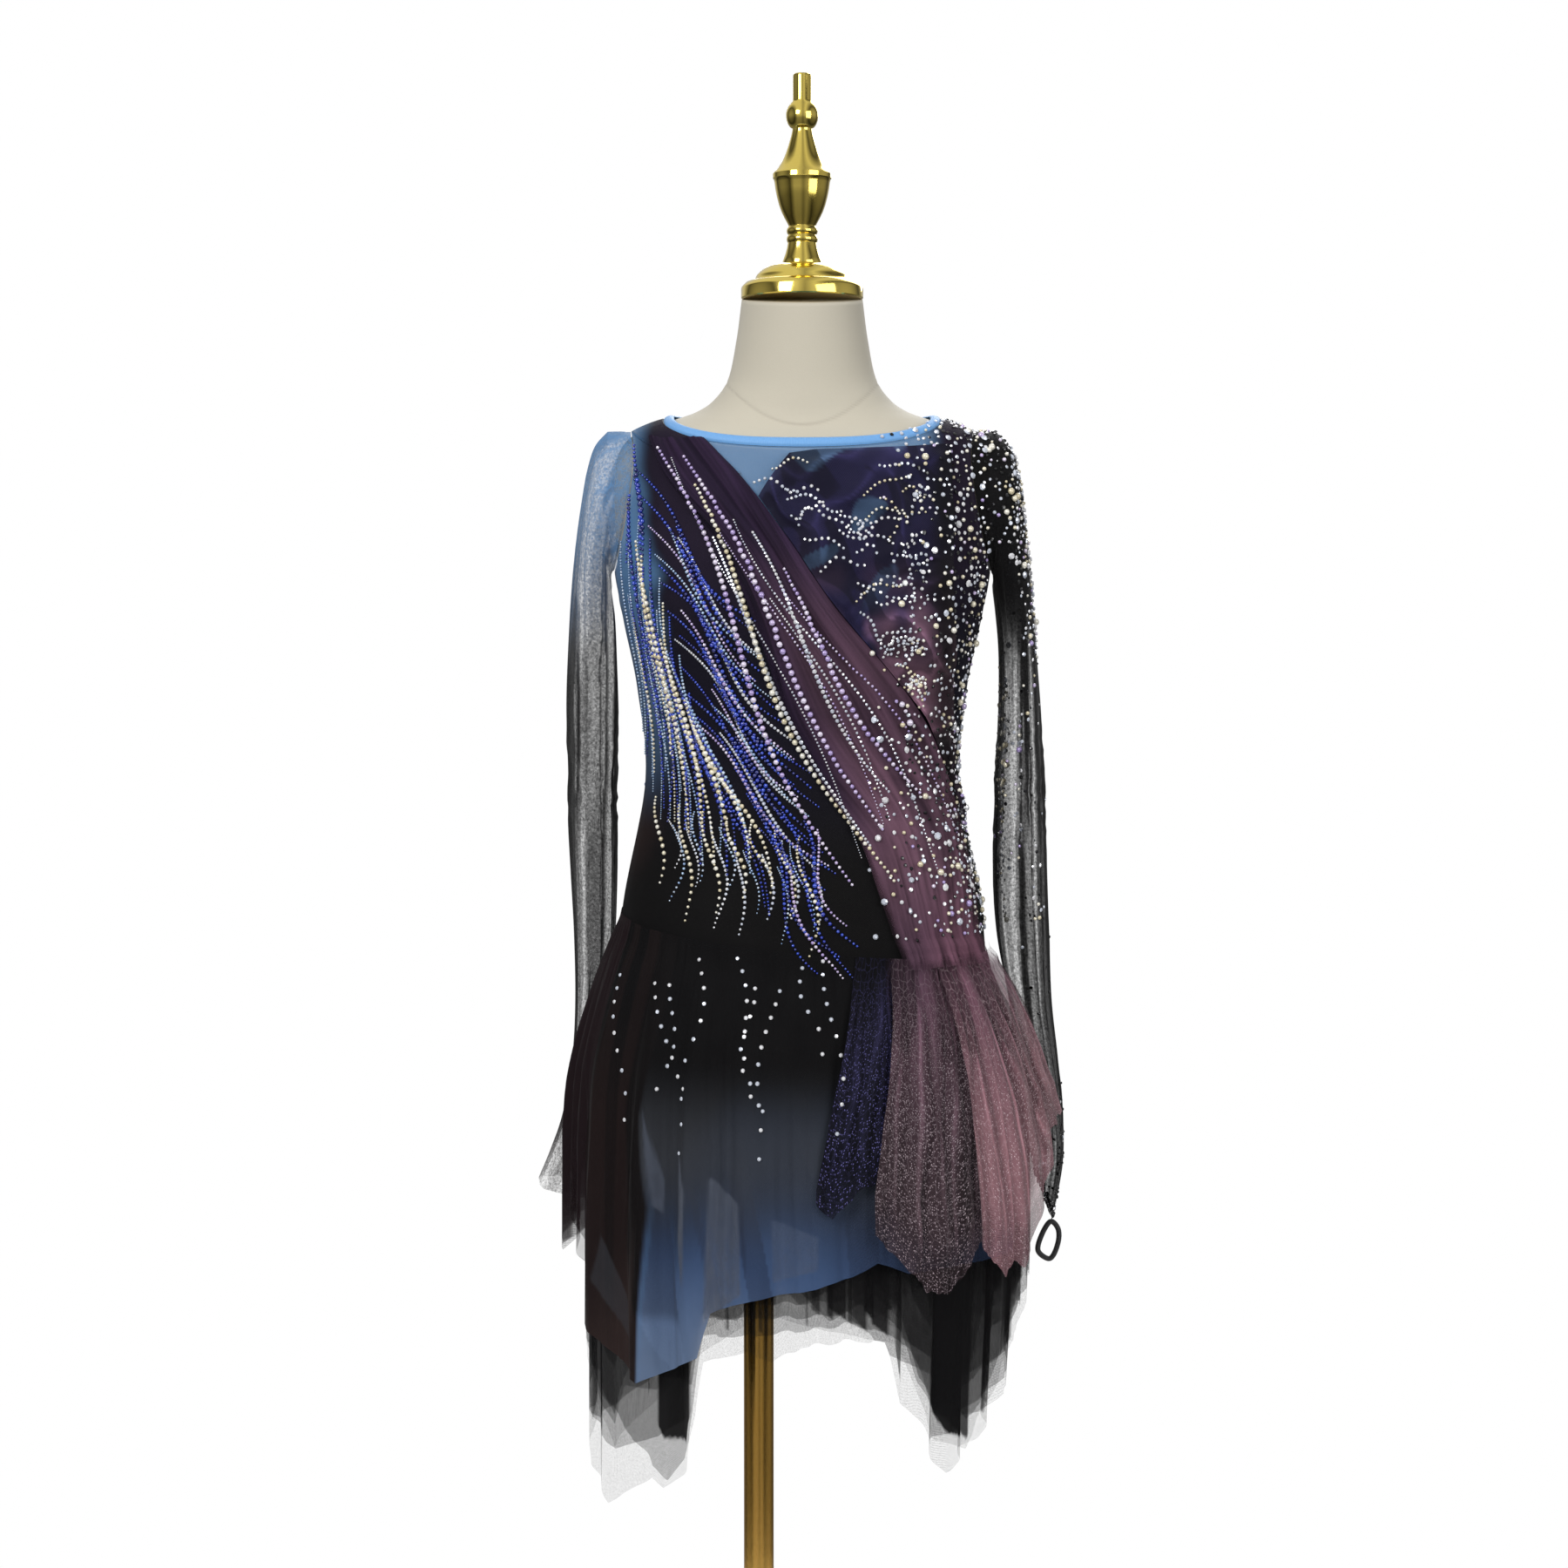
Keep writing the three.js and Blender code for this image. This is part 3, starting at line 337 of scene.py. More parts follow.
class Shader:
    def __init__(self, name, **fixed):
        self.material = bpy.data.materials.new(name)
        self.material.use_nodes = True
        self.tree = self.material.node_tree
        self.surface = self.tree.nodes["Principled BSDF"]
        for key, value in fixed.items():
            self.surface.inputs[key.replace("_", " ")].default_value = value

    def node(self, kind, settings=None, inputs=None):
        node = self.tree.nodes.new(kind)
        for key, value in (settings or {}).items():
            if key == "ramp":
                stops = node.color_ramp.elements
                while len(stops) < len(value):
                    stops.new(1)
                for stop, (place, shade) in zip(stops, value):
                    stop.position, stop.color = place, (*shade, 1)
            else:
                setattr(node, key, value)
        for key, value in (inputs or {}).items():
            if isinstance(value, Wire):
                self.tree.links.new(value.socket, node.inputs[key])
            else:
                node.inputs[key].default_value = value
        return node

    def wire(self, kind, output, settings=None, inputs=None):
        return Wire(self, self.node(kind, settings, inputs).outputs[output])

    def place(self, which="Object"):
        return self.wire("ShaderNodeTexCoord", which)

    def attribute(self, name, output="Fac"):
        return self.wire("ShaderNodeAttribute", output, {"attribute_name": name})

    def split(self, vector):
        node = self.node("ShaderNodeSeparateXYZ", {}, {0: vector})
        return [Wire(self, socket) for socket in node.outputs]

    def noise(self, scale, detail, at=None):
        inputs = {"Vector": at or self.place(), "Scale": scale, "Detail": detail}
        return self.wire("ShaderNodeTexNoise", 0, {}, inputs)

    def mix(self, factor, a, b, how="MIX"):
        settings = {"data_type": "RGBA", "blend_type": how}
        return self.wire("ShaderNodeMix", 2, settings, {0: factor, 6: a, 7: b})

    def times(self, a, tone):
        return self.mix(1.0, a, (*tone, 1), "MULTIPLY")

    def bump(self, height, strength, distance):
        inputs = {"Height": height, "Strength": strength, "Distance": distance}
        return self.wire("ShaderNodeBump", "Normal", {}, inputs)

    def feed(self, **inputs):
        for key, value in inputs.items():
            self.tree.links.new(value.socket, self.surface.inputs[key.replace("_", " ")])
        return self.material


def fabric(name, pitch, holes, roughness, sheen, glitter=None, plied=False, grain=0.0):
    # the dye and how much it covers are painted on each piece
    shader = Shader(name, Sheen_Weight=sheen, Sheen_Roughness=0.45, Specular_IOR_Level=0.1)
    uv = shader.place("UV")
    across, down, _ = shader.split(uv)
    turns = 2 * math.pi / pitch
    weave = (across * turns).math("SINE") * (down * turns).math("SINE")
    dye = shader.attribute("dye", "Color")
    cover = shader.attribute("cover")
    speckle = shader.noise(900, 3)
    cloudy = shader.noise(28, 3)
    if plied:
        clear = 1 - cover
        for reach in shader.split(shader.attribute("plies", "Vector")):  # mm above each ply's hem
            clear = clear * (1 - 0.5 * (reach * 1.4).math("ADD", 0.5, clamp=True))
        cover = 1 - clear
    shade = shader.mix(speckle * 0.6, dye, shader.times(dye, (0.55, 0.55, 0.58)))
    shade = shader.mix(cloudy * 0.5, shade, shader.times(shade, (0.7, 0.68, 0.7)))
    openness = (1 - cover) * holes
    texture = weave + (speckle - 0.5) * 1.4
    if grain:
        texture = texture + (shader.noise(430, 2) - 0.5) * grain
    alpha = (cover + texture * openness).math("MAXIMUM", 0.02, clamp=True)
    rough = cloudy * 0.2 + roughness
    height = weave * 0.5 + speckle
    if glitter:
        cells = shader.node("ShaderNodeTexVoronoi", {"voronoi_dimensions": "2D"},
                            {"Vector": uv, "Scale": 1 / glitter["cell"]})
        lot, strength, _ = shader.split(Wire(shader, cells.outputs["Color"]))
        fleck = Wire(shader, cells.outputs["Distance"]).under(glitter["size"]) * lot.over(glitter["rare"])
        fleck = fleck * (down * 9).math("SUBTRACT", 0.1, clamp=True)
        shade = shader.mix(fleck * strength, shade, glitter["shade"])
        drift = shader.wire("ShaderNodeTexNoise", "Color", {}, {"Vector": uv, "Scale": 60.0})
        bent = shader.mix(0.012, uv, drift, "ADD")
        web = shader.wire("ShaderNodeTexVoronoi", "Distance",
                          {"voronoi_dimensions": "2D", "feature": "DISTANCE_TO_EDGE"},
                          {"Vector": bent, "Scale": 105.0})
        shade = shader.mix(web.under(0.05) * cloudy * glitter["web"], shade, glitter["shade"])
        alpha = alpha.math("MAXIMUM", fleck * strength)
        rough = rough * (1 - fleck * 0.6)
    bump = shader.bump(height, 0.3, 0.0004)
    return shader.feed(Base_Color=shade, Alpha=alpha, Roughness=rough, Normal=bump)


fabrics = {
    "leotard": fabric("dyedStretchMesh", 0.0012, 0.4, 0.62, 0.03),
    "mesh": fabric("softMesh", 0.0014, 0.7, 0.65, 0.03),
    "plied": fabric("pliedMesh", 0.0014, 0.7, 0.65, 0.03, plied=True),
    "sleeve": fabric("sleeveMesh", 0.0014, 0.8, 0.6, 0.05, grain=2.6),
    "tulle": fabric("gatheredTulle", 0.0018, 0.8, 0.6, 0.12),
    "glitterNavy": fabric(
        "navyGlitterTulle", 0.0016, 0.6, 0.6, 0.03,
        {"cell": 0.0024, "size": 0.24, "rare": 0.5, "web": 0.1, "shade": (0.16, 0.15, 0.42, 1)}),
    "glitterPlum": fabric(
        "plumGlitterTulle", 0.0016, 0.6, 0.6, 0.08,
        {"cell": 0.0021, "size": 0.26, "rare": 0.4, "web": 0.22, "shade": (0.46, 0.37, 0.41, 1)}),
    "glitterRose": fabric(
        "roseGlitterTulle", 0.0016, 0.6, 0.6, 0.15,
        {"cell": 0.0023, "size": 0.24, "rare": 0.5, "web": 0.28, "shade": (0.66, 0.5, 0.54, 1)}),
}
dyes = {
    "sky": colour(98, 148, 198), "slate": colour(76, 102, 134), "denim": colour(78, 103, 145),
    "night": colour(20, 18, 32), "black": colour(10, 9, 11), "brown": colour(32, 22, 22),
    "navy": colour(32, 29, 58), "grape": colour(48, 34, 58), "plum": colour(78, 56, 70),
    "mauve": colour(116, 84, 100), "rose": colour(150, 104, 124), "maroon": colour(44, 27, 32),
    "smoke": colour(92, 96, 104),
}
print("fabrics ready")

# bodice
sashEdges = {
    "z": [798, 826, 850, 900, 950, 1000, 1050, 1100, 1150, 1200, 1234],
    "right": [80, 71, 63, 45, 14, -12, -28, -46, -72, -112, -128],
    "left": [147, 143, 141, 130, 117, 98, 64, 22, -12, -50, -84],
}
dyeLine = {  # where the blue side of the bodice meets the dark middle
    "z": [820, 862, 900, 937, 975, 1012, 1057, 1102, 1162, 1215],
    "x": [-146, -138, -131, -114, -105, -110, -119, -124, -131, -135],
}


def paintFront(u, v, p):
    x, z = p[..., 0], p[..., 2]
    side = blend(dyes["black"], dyes["brown"] * 1.3, smooth(z, 840, 890))
    side = blend(side, dyes["slate"] * 0.6, smooth(z, 900, 970))
    side = blend(side, dyes["slate"], smooth(z, 950, 1030))
    side = blend(side, dyes["sky"] * 0.85, smooth(z, 1040, 1160))
    middle = blend(dyes["black"], dyes["night"], smooth(z, 860, 1000))
    edge = np.interp(z, dyeLine["z"], dyeLine["x"]) + 6 * softNoise(z / 22, x / 60, 3)
    shade = blend(side, middle, smooth(x, edge - 12, edge + 12))
    upper = np.interp(z, sashEdges["z"], sashEdges["left"])
    neck = smooth(x, upper - 8, upper) * (1 - smooth(x, 98, 122)) * smooth(z, 1150, 1176)
    shade = blend(shade, dyes["sky"], neck)
    deep = 0.5 * smooth(x, edge, edge + 20) * smooth(z, 1040, 1160) * (1 - neck)
    shade = blend(shade, dyes["grape"] * 0.8, deep)
    side = 1 - smooth(x, edge - 12, edge + 12)
    return shade, 0.95 - 0.3 * neck - 0.16 * smooth(z, 1060, 1180) * side


def paintBack(u, v, p):
    x, z = p[..., 0], p[..., 2]
    blue = smooth(-x, -20, 130) * smooth(z, 930, 1120)
    shade = blend(blend(dyes["black"], dyes["night"], smooth(z, 860, 1050)), dyes["slate"], blue)
    shade = blend(shade, dyes["sky"], blue * smooth(z, 1080, 1200))
    return shade, 0.94 - 0.12 * blue


def taut(u, v, p):
    # faint drag lines of a close fit at the waist and the underarms
    x, z = p[..., 0], p[..., 2]
    waist = swell((z - 930) / 90)
    arm = swell((z - 1120) / 70) * smooth(np.abs(x), 90, 150)
    lines = 0.5 * waist * softNoise(x / 40, z / 9, 5)
    lines = lines + 0.6 * arm * softNoise((z + np.abs(x)) / 12, x / 40, 6)
    return lines * swell((v - 0.5) * 1.9)


def panelSurface(facing):
    shoulder = float(underBinding(90, neckline["binding"] + seamGap))
    turns = np.linspace(0, math.pi, 40)
    hole = lerp(armhole["bottom"], armhole["top"], (1 + np.cos(turns)) / 2)
    rows = np.concatenate([np.linspace(shoulder, armhole["top"], 7)[:-1], hole,
                           np.linspace(armhole["bottom"], hipRow - 0.04, 60)[1:]])
    places = np.linspace(0, 1, len(rows))
    return lambda u, v: panelPoint(facing, u, np.interp(v, places, rows), dressLift)


makeCloth("cloth_bodice_front", panelSurface(0), 110, 104, paintFront, fabrics["leotard"],
          relief=taut)
makeCloth("cloth_bodice_back", panelSurface(180), 90, 104, paintBack, fabrics["leotard"],
          relief=taut)


def bindingSurface(u, v):
    angle = u * 360
    arch = np.sqrt(np.clip(1 - (2 * v - 1) ** 2, 0, 1))
    return formPoint(angle, underBinding(angle, v * neckline["binding"]), dressLift - 1.2 + 2.2 * arch)


def briefSurface(u, v):
    top = stepAt(seamHeight(u * 360) - 30)
    return formPoint(u * 360, lerp(top, 0.06, v), dressLift - 0.7)


def plain(name):
    return lambda u, v, p: (dyes[name], 1.0)


binding = Shader("blueBinding", Sheen_Weight=0.2)
bindingWave = (binding.split(binding.place("UV"))[0] * (2 * math.pi / 0.0013)).math("SINE")
bindingSpeck = binding.noise(700, 2)
binding.feed(
    Base_Color=binding.mix(bindingSpeck * 0.5, (*colour(112, 168, 224), 1), (*colour(92, 148, 208), 1)),
    Roughness=bindingSpeck * 0.2 + 0.45, Normal=binding.bump(bindingWave + bindingSpeck, 0.25, 0.0003))
makeCloth("cloth_neck_binding", bindingSurface, 240, 8, plain("sky"), binding.material,
          ring=True)
makeCloth("cloth_brief", briefSurface, 96, 24, plain("black"), fabrics["leotard"],
          ring=True)
print("bodice made")

# sash and yoke
sashRipples = {"at": [0.18, 0.47, 0.78], "width": [0.14, 0.16, 0.15], "rise": [1.6, 2.2, 1.8]}


def sashSurface(u, v):
    z = lerp(1231, 789, v)
    x = lerp(along(sashEdges, "z", "right", z), along(sashEdges, "z", "left", z), u)
    ripple = sum(rise * swell((u - at) / width)
                 for at, width, rise in zip(*(sashRipples[k] for k in ("at", "width", "rise"))))
    over = 3.4 * (1 - smooth(z, 804, 815)) + 0.4 * np.maximum(801 - z, 0)
    return frontPoint(x, z, overlayLift + over + ripple * np.sin(math.pi * np.clip(v * 1.4, 0, 1)) ** 0.5)


def sashLine(u, v):
    # the pleats wander a little on their way down
    return u * 8 + 0.9 * softNoise(v * 4, u * 2, 2) + 1.6 * v * (u - 0.5)


def sashPleats(u, v, p):
    inside = smooth(u, 0, 0.05) * smooth(1 - u, 0, 0.05)
    across = 0.7 * ridge(p[..., 2] / 16 + 1.5 * u, u * 3, 16) * smooth(v, 0.35, 0.6)
    pleats = 2.2 * ridge(sashLine(u, v), v * 3, 9) + 0.8 * ridge(sashLine(u, v) * 2.7, v * 6, 10)
    return (pleats + across) * inside


def hipShade(x):
    # the colour that sash and petals share where they meet
    shade = blend(dyes["night"] * 0.5, dyes["plum"] * 1.1, smooth(x, 68, 84))
    return blend(shade, dyes["rose"] * 0.6, smooth(x, 90, 140))


def paintSash(u, v, p):
    x, z = p[..., 0], p[..., 2]
    shade = blend(hipShade(x), dyes["mauve"] * 0.9, smooth(z, 800, 890))
    shade = blend(shade, dyes["plum"] * 1.15, smooth(z, 890, 1010))
    shade = blend(shade, dyes["grape"] * 0.9, smooth(z, 1030, 1170))
    shade = blend(dyes["grape"] * 0.7, shade, lerp(1, smooth(u, 0.02, 0.42), smooth(z, 830, 960)))
    # light and dark streaks along the pleats: partly the cloth's tone, partly painted pleat shade
    streak = softNoise(sashLine(u, v) * 1.4, v * 5, 12) + 0.5 * softNoise(sashLine(u, v) * 5, v * 14, 17)
    # painted light and shade on the fine pleats: lighter crests, darker hollows
    shade = shade * (1 + 0.42 * streak + 0.22 * ridge(sashLine(u, v) * 2.7, v * 6, 10))[..., None]
    deep = 0.4 * doubled(sashLine(u, v) * 0.6, v * 2.4, 13, 0.15, 0.2)
    shade = blend(shade, dyes["night"], deep * smooth(z, 830, 930))
    ends = lerp(0.3, 1, smooth(u + 0.03 * streak, 0, 0.1)) * lerp(0.2, 1, smooth(z + 4 * streak, 790, 801))
    ends = ends * lerp(0.15, 1, smooth(1 - u + 0.04 * streak, 0, 0.14) + smooth(z, 900, 960))
    return shade, (0.97 - 0.1 * smooth(streak, 0.2, 0.6)) * ends


makeCloth("cloth_sash", sashSurface, 90, 170, paintSash, fabrics["mesh"],
          relief=sashPleats)

yokeGathers = {
    "at": [0.1, 0.27, 0.43, 0.58, 0.73, 0.88], "slant": [0.25, -0.18, 0.2, -0.12, 0.16, -0.1],
    "width": [0.075, 0.085, 0.07, 0.09, 0.07, 0.075], "rise": [3.2, 3.8, 3, 4, 3, 3.4],
}
yokeTop = {"u": [0, 0.3, 0.42, 0.8, 1], "z": [1184, 1219, 1222, 1224, 1226]}


def yokeSurface(u, v):
    z = lerp(np.interp(u, yokeTop["u"], yokeTop["z"]), 905, v)
    right = along(sashEdges, "z", "left", z) + 0.8
    left = np.minimum(122, along(formRings, "step", "side", stepAt(z)) - 10)
    x = lerp(right, np.maximum(left, right + 3), u)
    gathers = zip(*(yokeGathers[k] for k in ("at", "slant", "width", "rise")))
    gather = sum(rise * swell((v - at - slant * (u - 0.5)) / width) for at, slant, width, rise in gathers)
    return frontPoint(x, z, overlayLift + gather * np.sin(math.pi * np.clip(u, 0.06, 0.94)) ** 0.4)


def yokeCrumple(u, v, p):
    x, z = p[..., 0], p[..., 2]
    bend = 14 * softNoise(x / 34, z / 34, 1)
    inside = smooth(u, 0, 0.08) * smooth(1 - u, 0, 0.08) * smooth(v, 0, 0.04) * smooth(1 - v, 0, 0.04)
    large = ridge((x + z * 0.45 + bend) / 24, (z - x * 0.4 + bend) / 46, 7)
    fine = ridge((x * 0.5 - z + bend) / 12, (z * 0.4 + x) / 30, 8)
    return (3.1 * large + 1.5 * fine + 0.6 * softNoise((x + bend) / 5, (z - bend) / 6, 9)) * inside


def paintYoke(u, v, p):
    x, z = p[..., 0], p[..., 2]
    bend = 14 * softNoise(x / 34, z / 34, 1)
    pink = smooth(x, 40, 96) * swell((z - 1015) / 125)
    pink = pink + 0.35 * softNoise(x / 14, z / 22, 11) * swell((z - 1030) / 150)
    shade = blend(dyes["navy"], dyes["mauve"] * 1.2, np.clip(pink * 1.2, 0, 1))
    clear = doubled((x - z + bend) / 26, (z + x) / 44, 14, 0.15) * smooth(z, 1080, 1140)
    shade = blend(shade, dyes["slate"] * 0.8, 0.7 * clear * (1 - smooth(x, 60, 100)))
    folds = doubled((x + z * 0.45 + bend) / 13, (z - x * 0.4 + bend) / 36, 15, 0.1)
    # painted highlight: the crests of the larger crumples in the relief are coloured lighter
    crestHighlight = np.clip(ridge((x + z * 0.45 + bend) / 24, (z - x * 0.4 + bend) / 46, 7), 0, 1) ** 5
    shade = shade * (1 + 1.5 * crestHighlight)[..., None]
    shade = blend(shade, dyes["night"] * 0.6, 0.6 * folds)
    shade = blend(shade, dyes["black"], smooth(x, 100, 120) * 0.85)
    return shade, 0.94 + 0.05 * folds


makeCloth("cloth_yoke", yokeSurface, 120, 150, paintYoke, fabrics["tulle"],
          relief=yokeCrumple)
print("sash and yoke made")

# sleeves
rightSleeve = {
    "outX": [-166, -177, -184, -190, -195, -199, -202, -201, -200, -198, -198, -201, -209, -221, -233],
    "outZ": [1239, 1226, 1203, 1168, 1122, 1070, 1005, 935, 865, 800, 740, 690, 640, 604, 575],
    "inX": [-163.2, -164.2, -164.4, -164, -161.5, -160, -160, -163, -164, -166, -170, -176, -182, -189, -205],
    "inZ": [1120.5, 1117, 1111, 1100, 1078, 1045, 996, 935, 865, 800, 742, 693, 648, 608, 568],
    "y": [1, 2, 4, 7, 12, 18, 26, 35, 45, 58, 72, 82, 88, 92, 94],
    "deep": [47, 48, 47, 45, 43, 42, 41, 40, 38, 36, 33, 32, 34, 37, 39],
}
leftSleeve = {
    "outX": [166, 177, 185, 190, 196, 202, 207, 210, 213, 216, 219, 225, 231, 232, 223],
    "outZ": [1239, 1226, 1203, 1168, 1118, 1062, 1000, 935, 865, 800, 740, 690, 640, 590, 539],
    "inX": [163.2, 164.2, 164.6, 165, 168, 171, 171, 170, 170, 174, 184, 190, 195, 202, 210],
    "inZ": [1120.5, 1117, 1111, 1103, 1086, 1050, 996, 935, 865, 800, 742, 690, 645, 612, 582],
    "y": [1, 2, 4, 7, 12, 18, 26, 35, 45, 58, 72, 82, 88, 92, 95],
    "deep": [47, 48, 47, 45, 43, 42, 41, 40, 38, 36, 33, 31, 27, 24, 12],
}
for rows in (rightSleeve, leftSleeve):
    rows["i"] = list(range(15))


def sleeveSurface(side, rows):
    def ellipse(row, turn):
        names = ("outX", "outZ", "inX", "inZ", "y", "deep")
        outX, outZ, inX, inZ, y, deep = (along(rows, "i", c, row) for c in names)
        wave = smooth(row, 4, 8) * 2.6 * np.cos(5 * turn + row * 0.12) / 40
        half = np.cos(turn) * (1 + wave * 1.6)
        x = (outX + inX) / 2 + (outX - inX) / 2 * half
        z = (outZ + inZ) / 2 + (outZ - inZ) / 2 * half
        return np.stack([x, y - deep * np.sin(turn) * (1 + wave), z], -1)

    def seam(turn, move):
        step = lerp(armhole["bottom"], armhole["top"], (1 + np.cos(turn)) / 2) - 0.04 * np.cos(turn)
        depth = np.where(np.sin(turn) > 0, armhole["front"], armhole["back"])
        point = formPoint(side * (90 - (depth - 0.5) * np.sin(turn)), step, dressLift)
        point[..., 0] += side * move
        return point

    def surface(u, v):
        row = v * 16
        turn = -side * (u * 2.008 + 1) * math.pi
        clear = lerp(1.4, 5, (1 + np.cos(turn)) / 2)
        first = seam(turn, np.clip(row, 0, 1) * clear)
        second = lerp(seam(turn, clear), ellipse(0 * turn, turn), np.clip(row - 1, 0, 1)[..., None])
        third = ellipse(np.clip(row - 2, 0, 14), turn)
        row = row[..., None]
        return np.where(row <= 1, first, np.where(row <= 2, second, third))
    return surface


def sleeveCreases(seed):
    def relief(u, v, p):
        start = smooth(v * 16, 3, 7)
        lean = u + 0.05 * softNoise(v * 5, u * 3, seed)
        folds = 1.6 * ridge(lean * 9, v * 2.2, seed + 1) + 0.8 * ridge(lean * 21, v * 4, seed + 2)
        elbow = swell((p[..., 2] - 930) / 80) * ridge(p[..., 2] / 15 + 2 * u, u * 5, seed + 3)
        head = smooth(v, 0.02, 0.08) * (1 - start) * ridge(u * 16, v * 9, seed + 4)
        lap = 0.5 * smooth(u, 0.985, 1)  # the underarm seam
        return start * (folds + 1.2 * elbow) + 0.8 * head + lap
    return relief


def sleeveFolds(u, v, seed):
    # how far the sheer cloth is doubled by its long folds and where it folds over at its two edges
    lean = u + 0.06 * softNoise(v * 4, u * 3, seed) + 0.01 * softNoise(v * 26, u * 8, seed)
    broad = doubled(lean * 9, v * 1.5, seed + 1, 0.2, 0.05)
    fine = doubled(lean * 26, v * 2.2, seed + 2, 0.35, 0.08)
    line = smooth(ridge(lean * 12, v * 1.3, seed + 3), 0.72, 0.86)
    edge = smooth(np.abs(np.cos(2 * math.pi * lean)), 0.8, 0.93)
    return np.clip(0.6 * broad + 0.5 * fine + 0.6 * line + 0.75 * edge, 0, 1)


def paintRightSleeve(u, v, p):
    z = p[..., 2]
    shade = blend(dyes["maroon"] * 0.5, dyes["black"], smooth(z, 600, 760))
    shade = blend(shade, dyes["smoke"] * 0.5, smooth(z, 1010, 1080))
    shade = blend(shade, dyes["slate"], smooth(z, 1050, 1110))
    shade = blend(shade, dyes["sky"], smooth(z, 1090, 1190))
    folds = sleeveFolds(u, v, 31)
    cover = lerp(0.3, 0.95, folds) * (1 - 0.45 * (1 - smooth(z, 575, 640)))
    return shade, lerp(cover, 0.48 + 0.4 * folds, smooth(z, 1050, 1150))


def paintLeftSleeve(u, v, p):
    z = p[..., 2]
    cover = lerp(0.34, 0.97, sleeveFolds(u, v, 36))
    return dyes["black"] + 0 * p, lerp(cover, 0.96, smooth(z, 1000, 1110))


makeCloth("cloth_sleeve_right", sleeveSurface(-1, rightSleeve), 120, 200, paintRightSleeve, fabrics["sleeve"],
          relief=sleeveCreases(31))
makeCloth("cloth_sleeve_left", sleeveSurface(1, leftSleeve), 120, 200, paintLeftSleeve, fabrics["sleeve"],
          relief=sleeveCreases(44))
print("sleeves made")

# skirt
skirtRings = {
    "fall": [0, 40, 80, 130, 190, 280, 380, 500],
    "right": [156, 172, 184, 195, 199, 200, 200, 200],
    "left": [156, 174, 187, 198, 203, 203, 199, 196],
    "front": [104, 122, 135, 144, 150, 153, 154, 154],
    "back": [110, 128, 140, 150, 158, 163, 164, 164],
}
layerStep = {"top": 1.8, "growth": 0.022, "until": 220, "seamRest": -1, "rest": 3, "restFrom": 30}


def skirtPoint(angle, fall, layer, folds):
    s, c = np.sin(np.radians(angle)), np.cos(np.radians(angle))
    opening = np.clip(fall / 190, 0, 1)
    turned = np.where(angle > 180, angle - 360, angle)
    square = 2 / lerp(2.2, 2, np.clip(fall / 130, 0, 1))
    move = -layer * (layerStep["top"] + layerStep["growth"] * np.minimum(fall, layerStep["until"]))
    for at, width, rise in folds:
        move = move + rise * opening * swell((angle - at) / width)
    for at, width, rise in ((-117, 27, -17), (119, 27, -15)):  # where the sleeves press
        move = move + rise * opening * swell((turned - at) / width)
    step = stepAt(seamHeight(angle) - fall)
    slack = lerp(layerStep["seamRest"], layerStep["rest"], np.clip(fall / layerStep["restFrom"], 0, 1))
    rest = dressLift + slack + (2 - layer) * layerStep["top"]

    def reach(skirtColumn, formColumn):
        return np.maximum(along(skirtRings, "fall", skirtColumn, fall) + move,
                          along(formRings, "step", formColumn, step) + rest)
    halfWidth = np.where(s > 0, reach("left", "side"), reach("right", "side"))
    depth = np.where(c > 0, reach("front", "front"), reach("back", "back"))
    return np.stack([halfWidth * power(s, square), -depth * power(c, square), seamHeight(angle) - fall], -1)


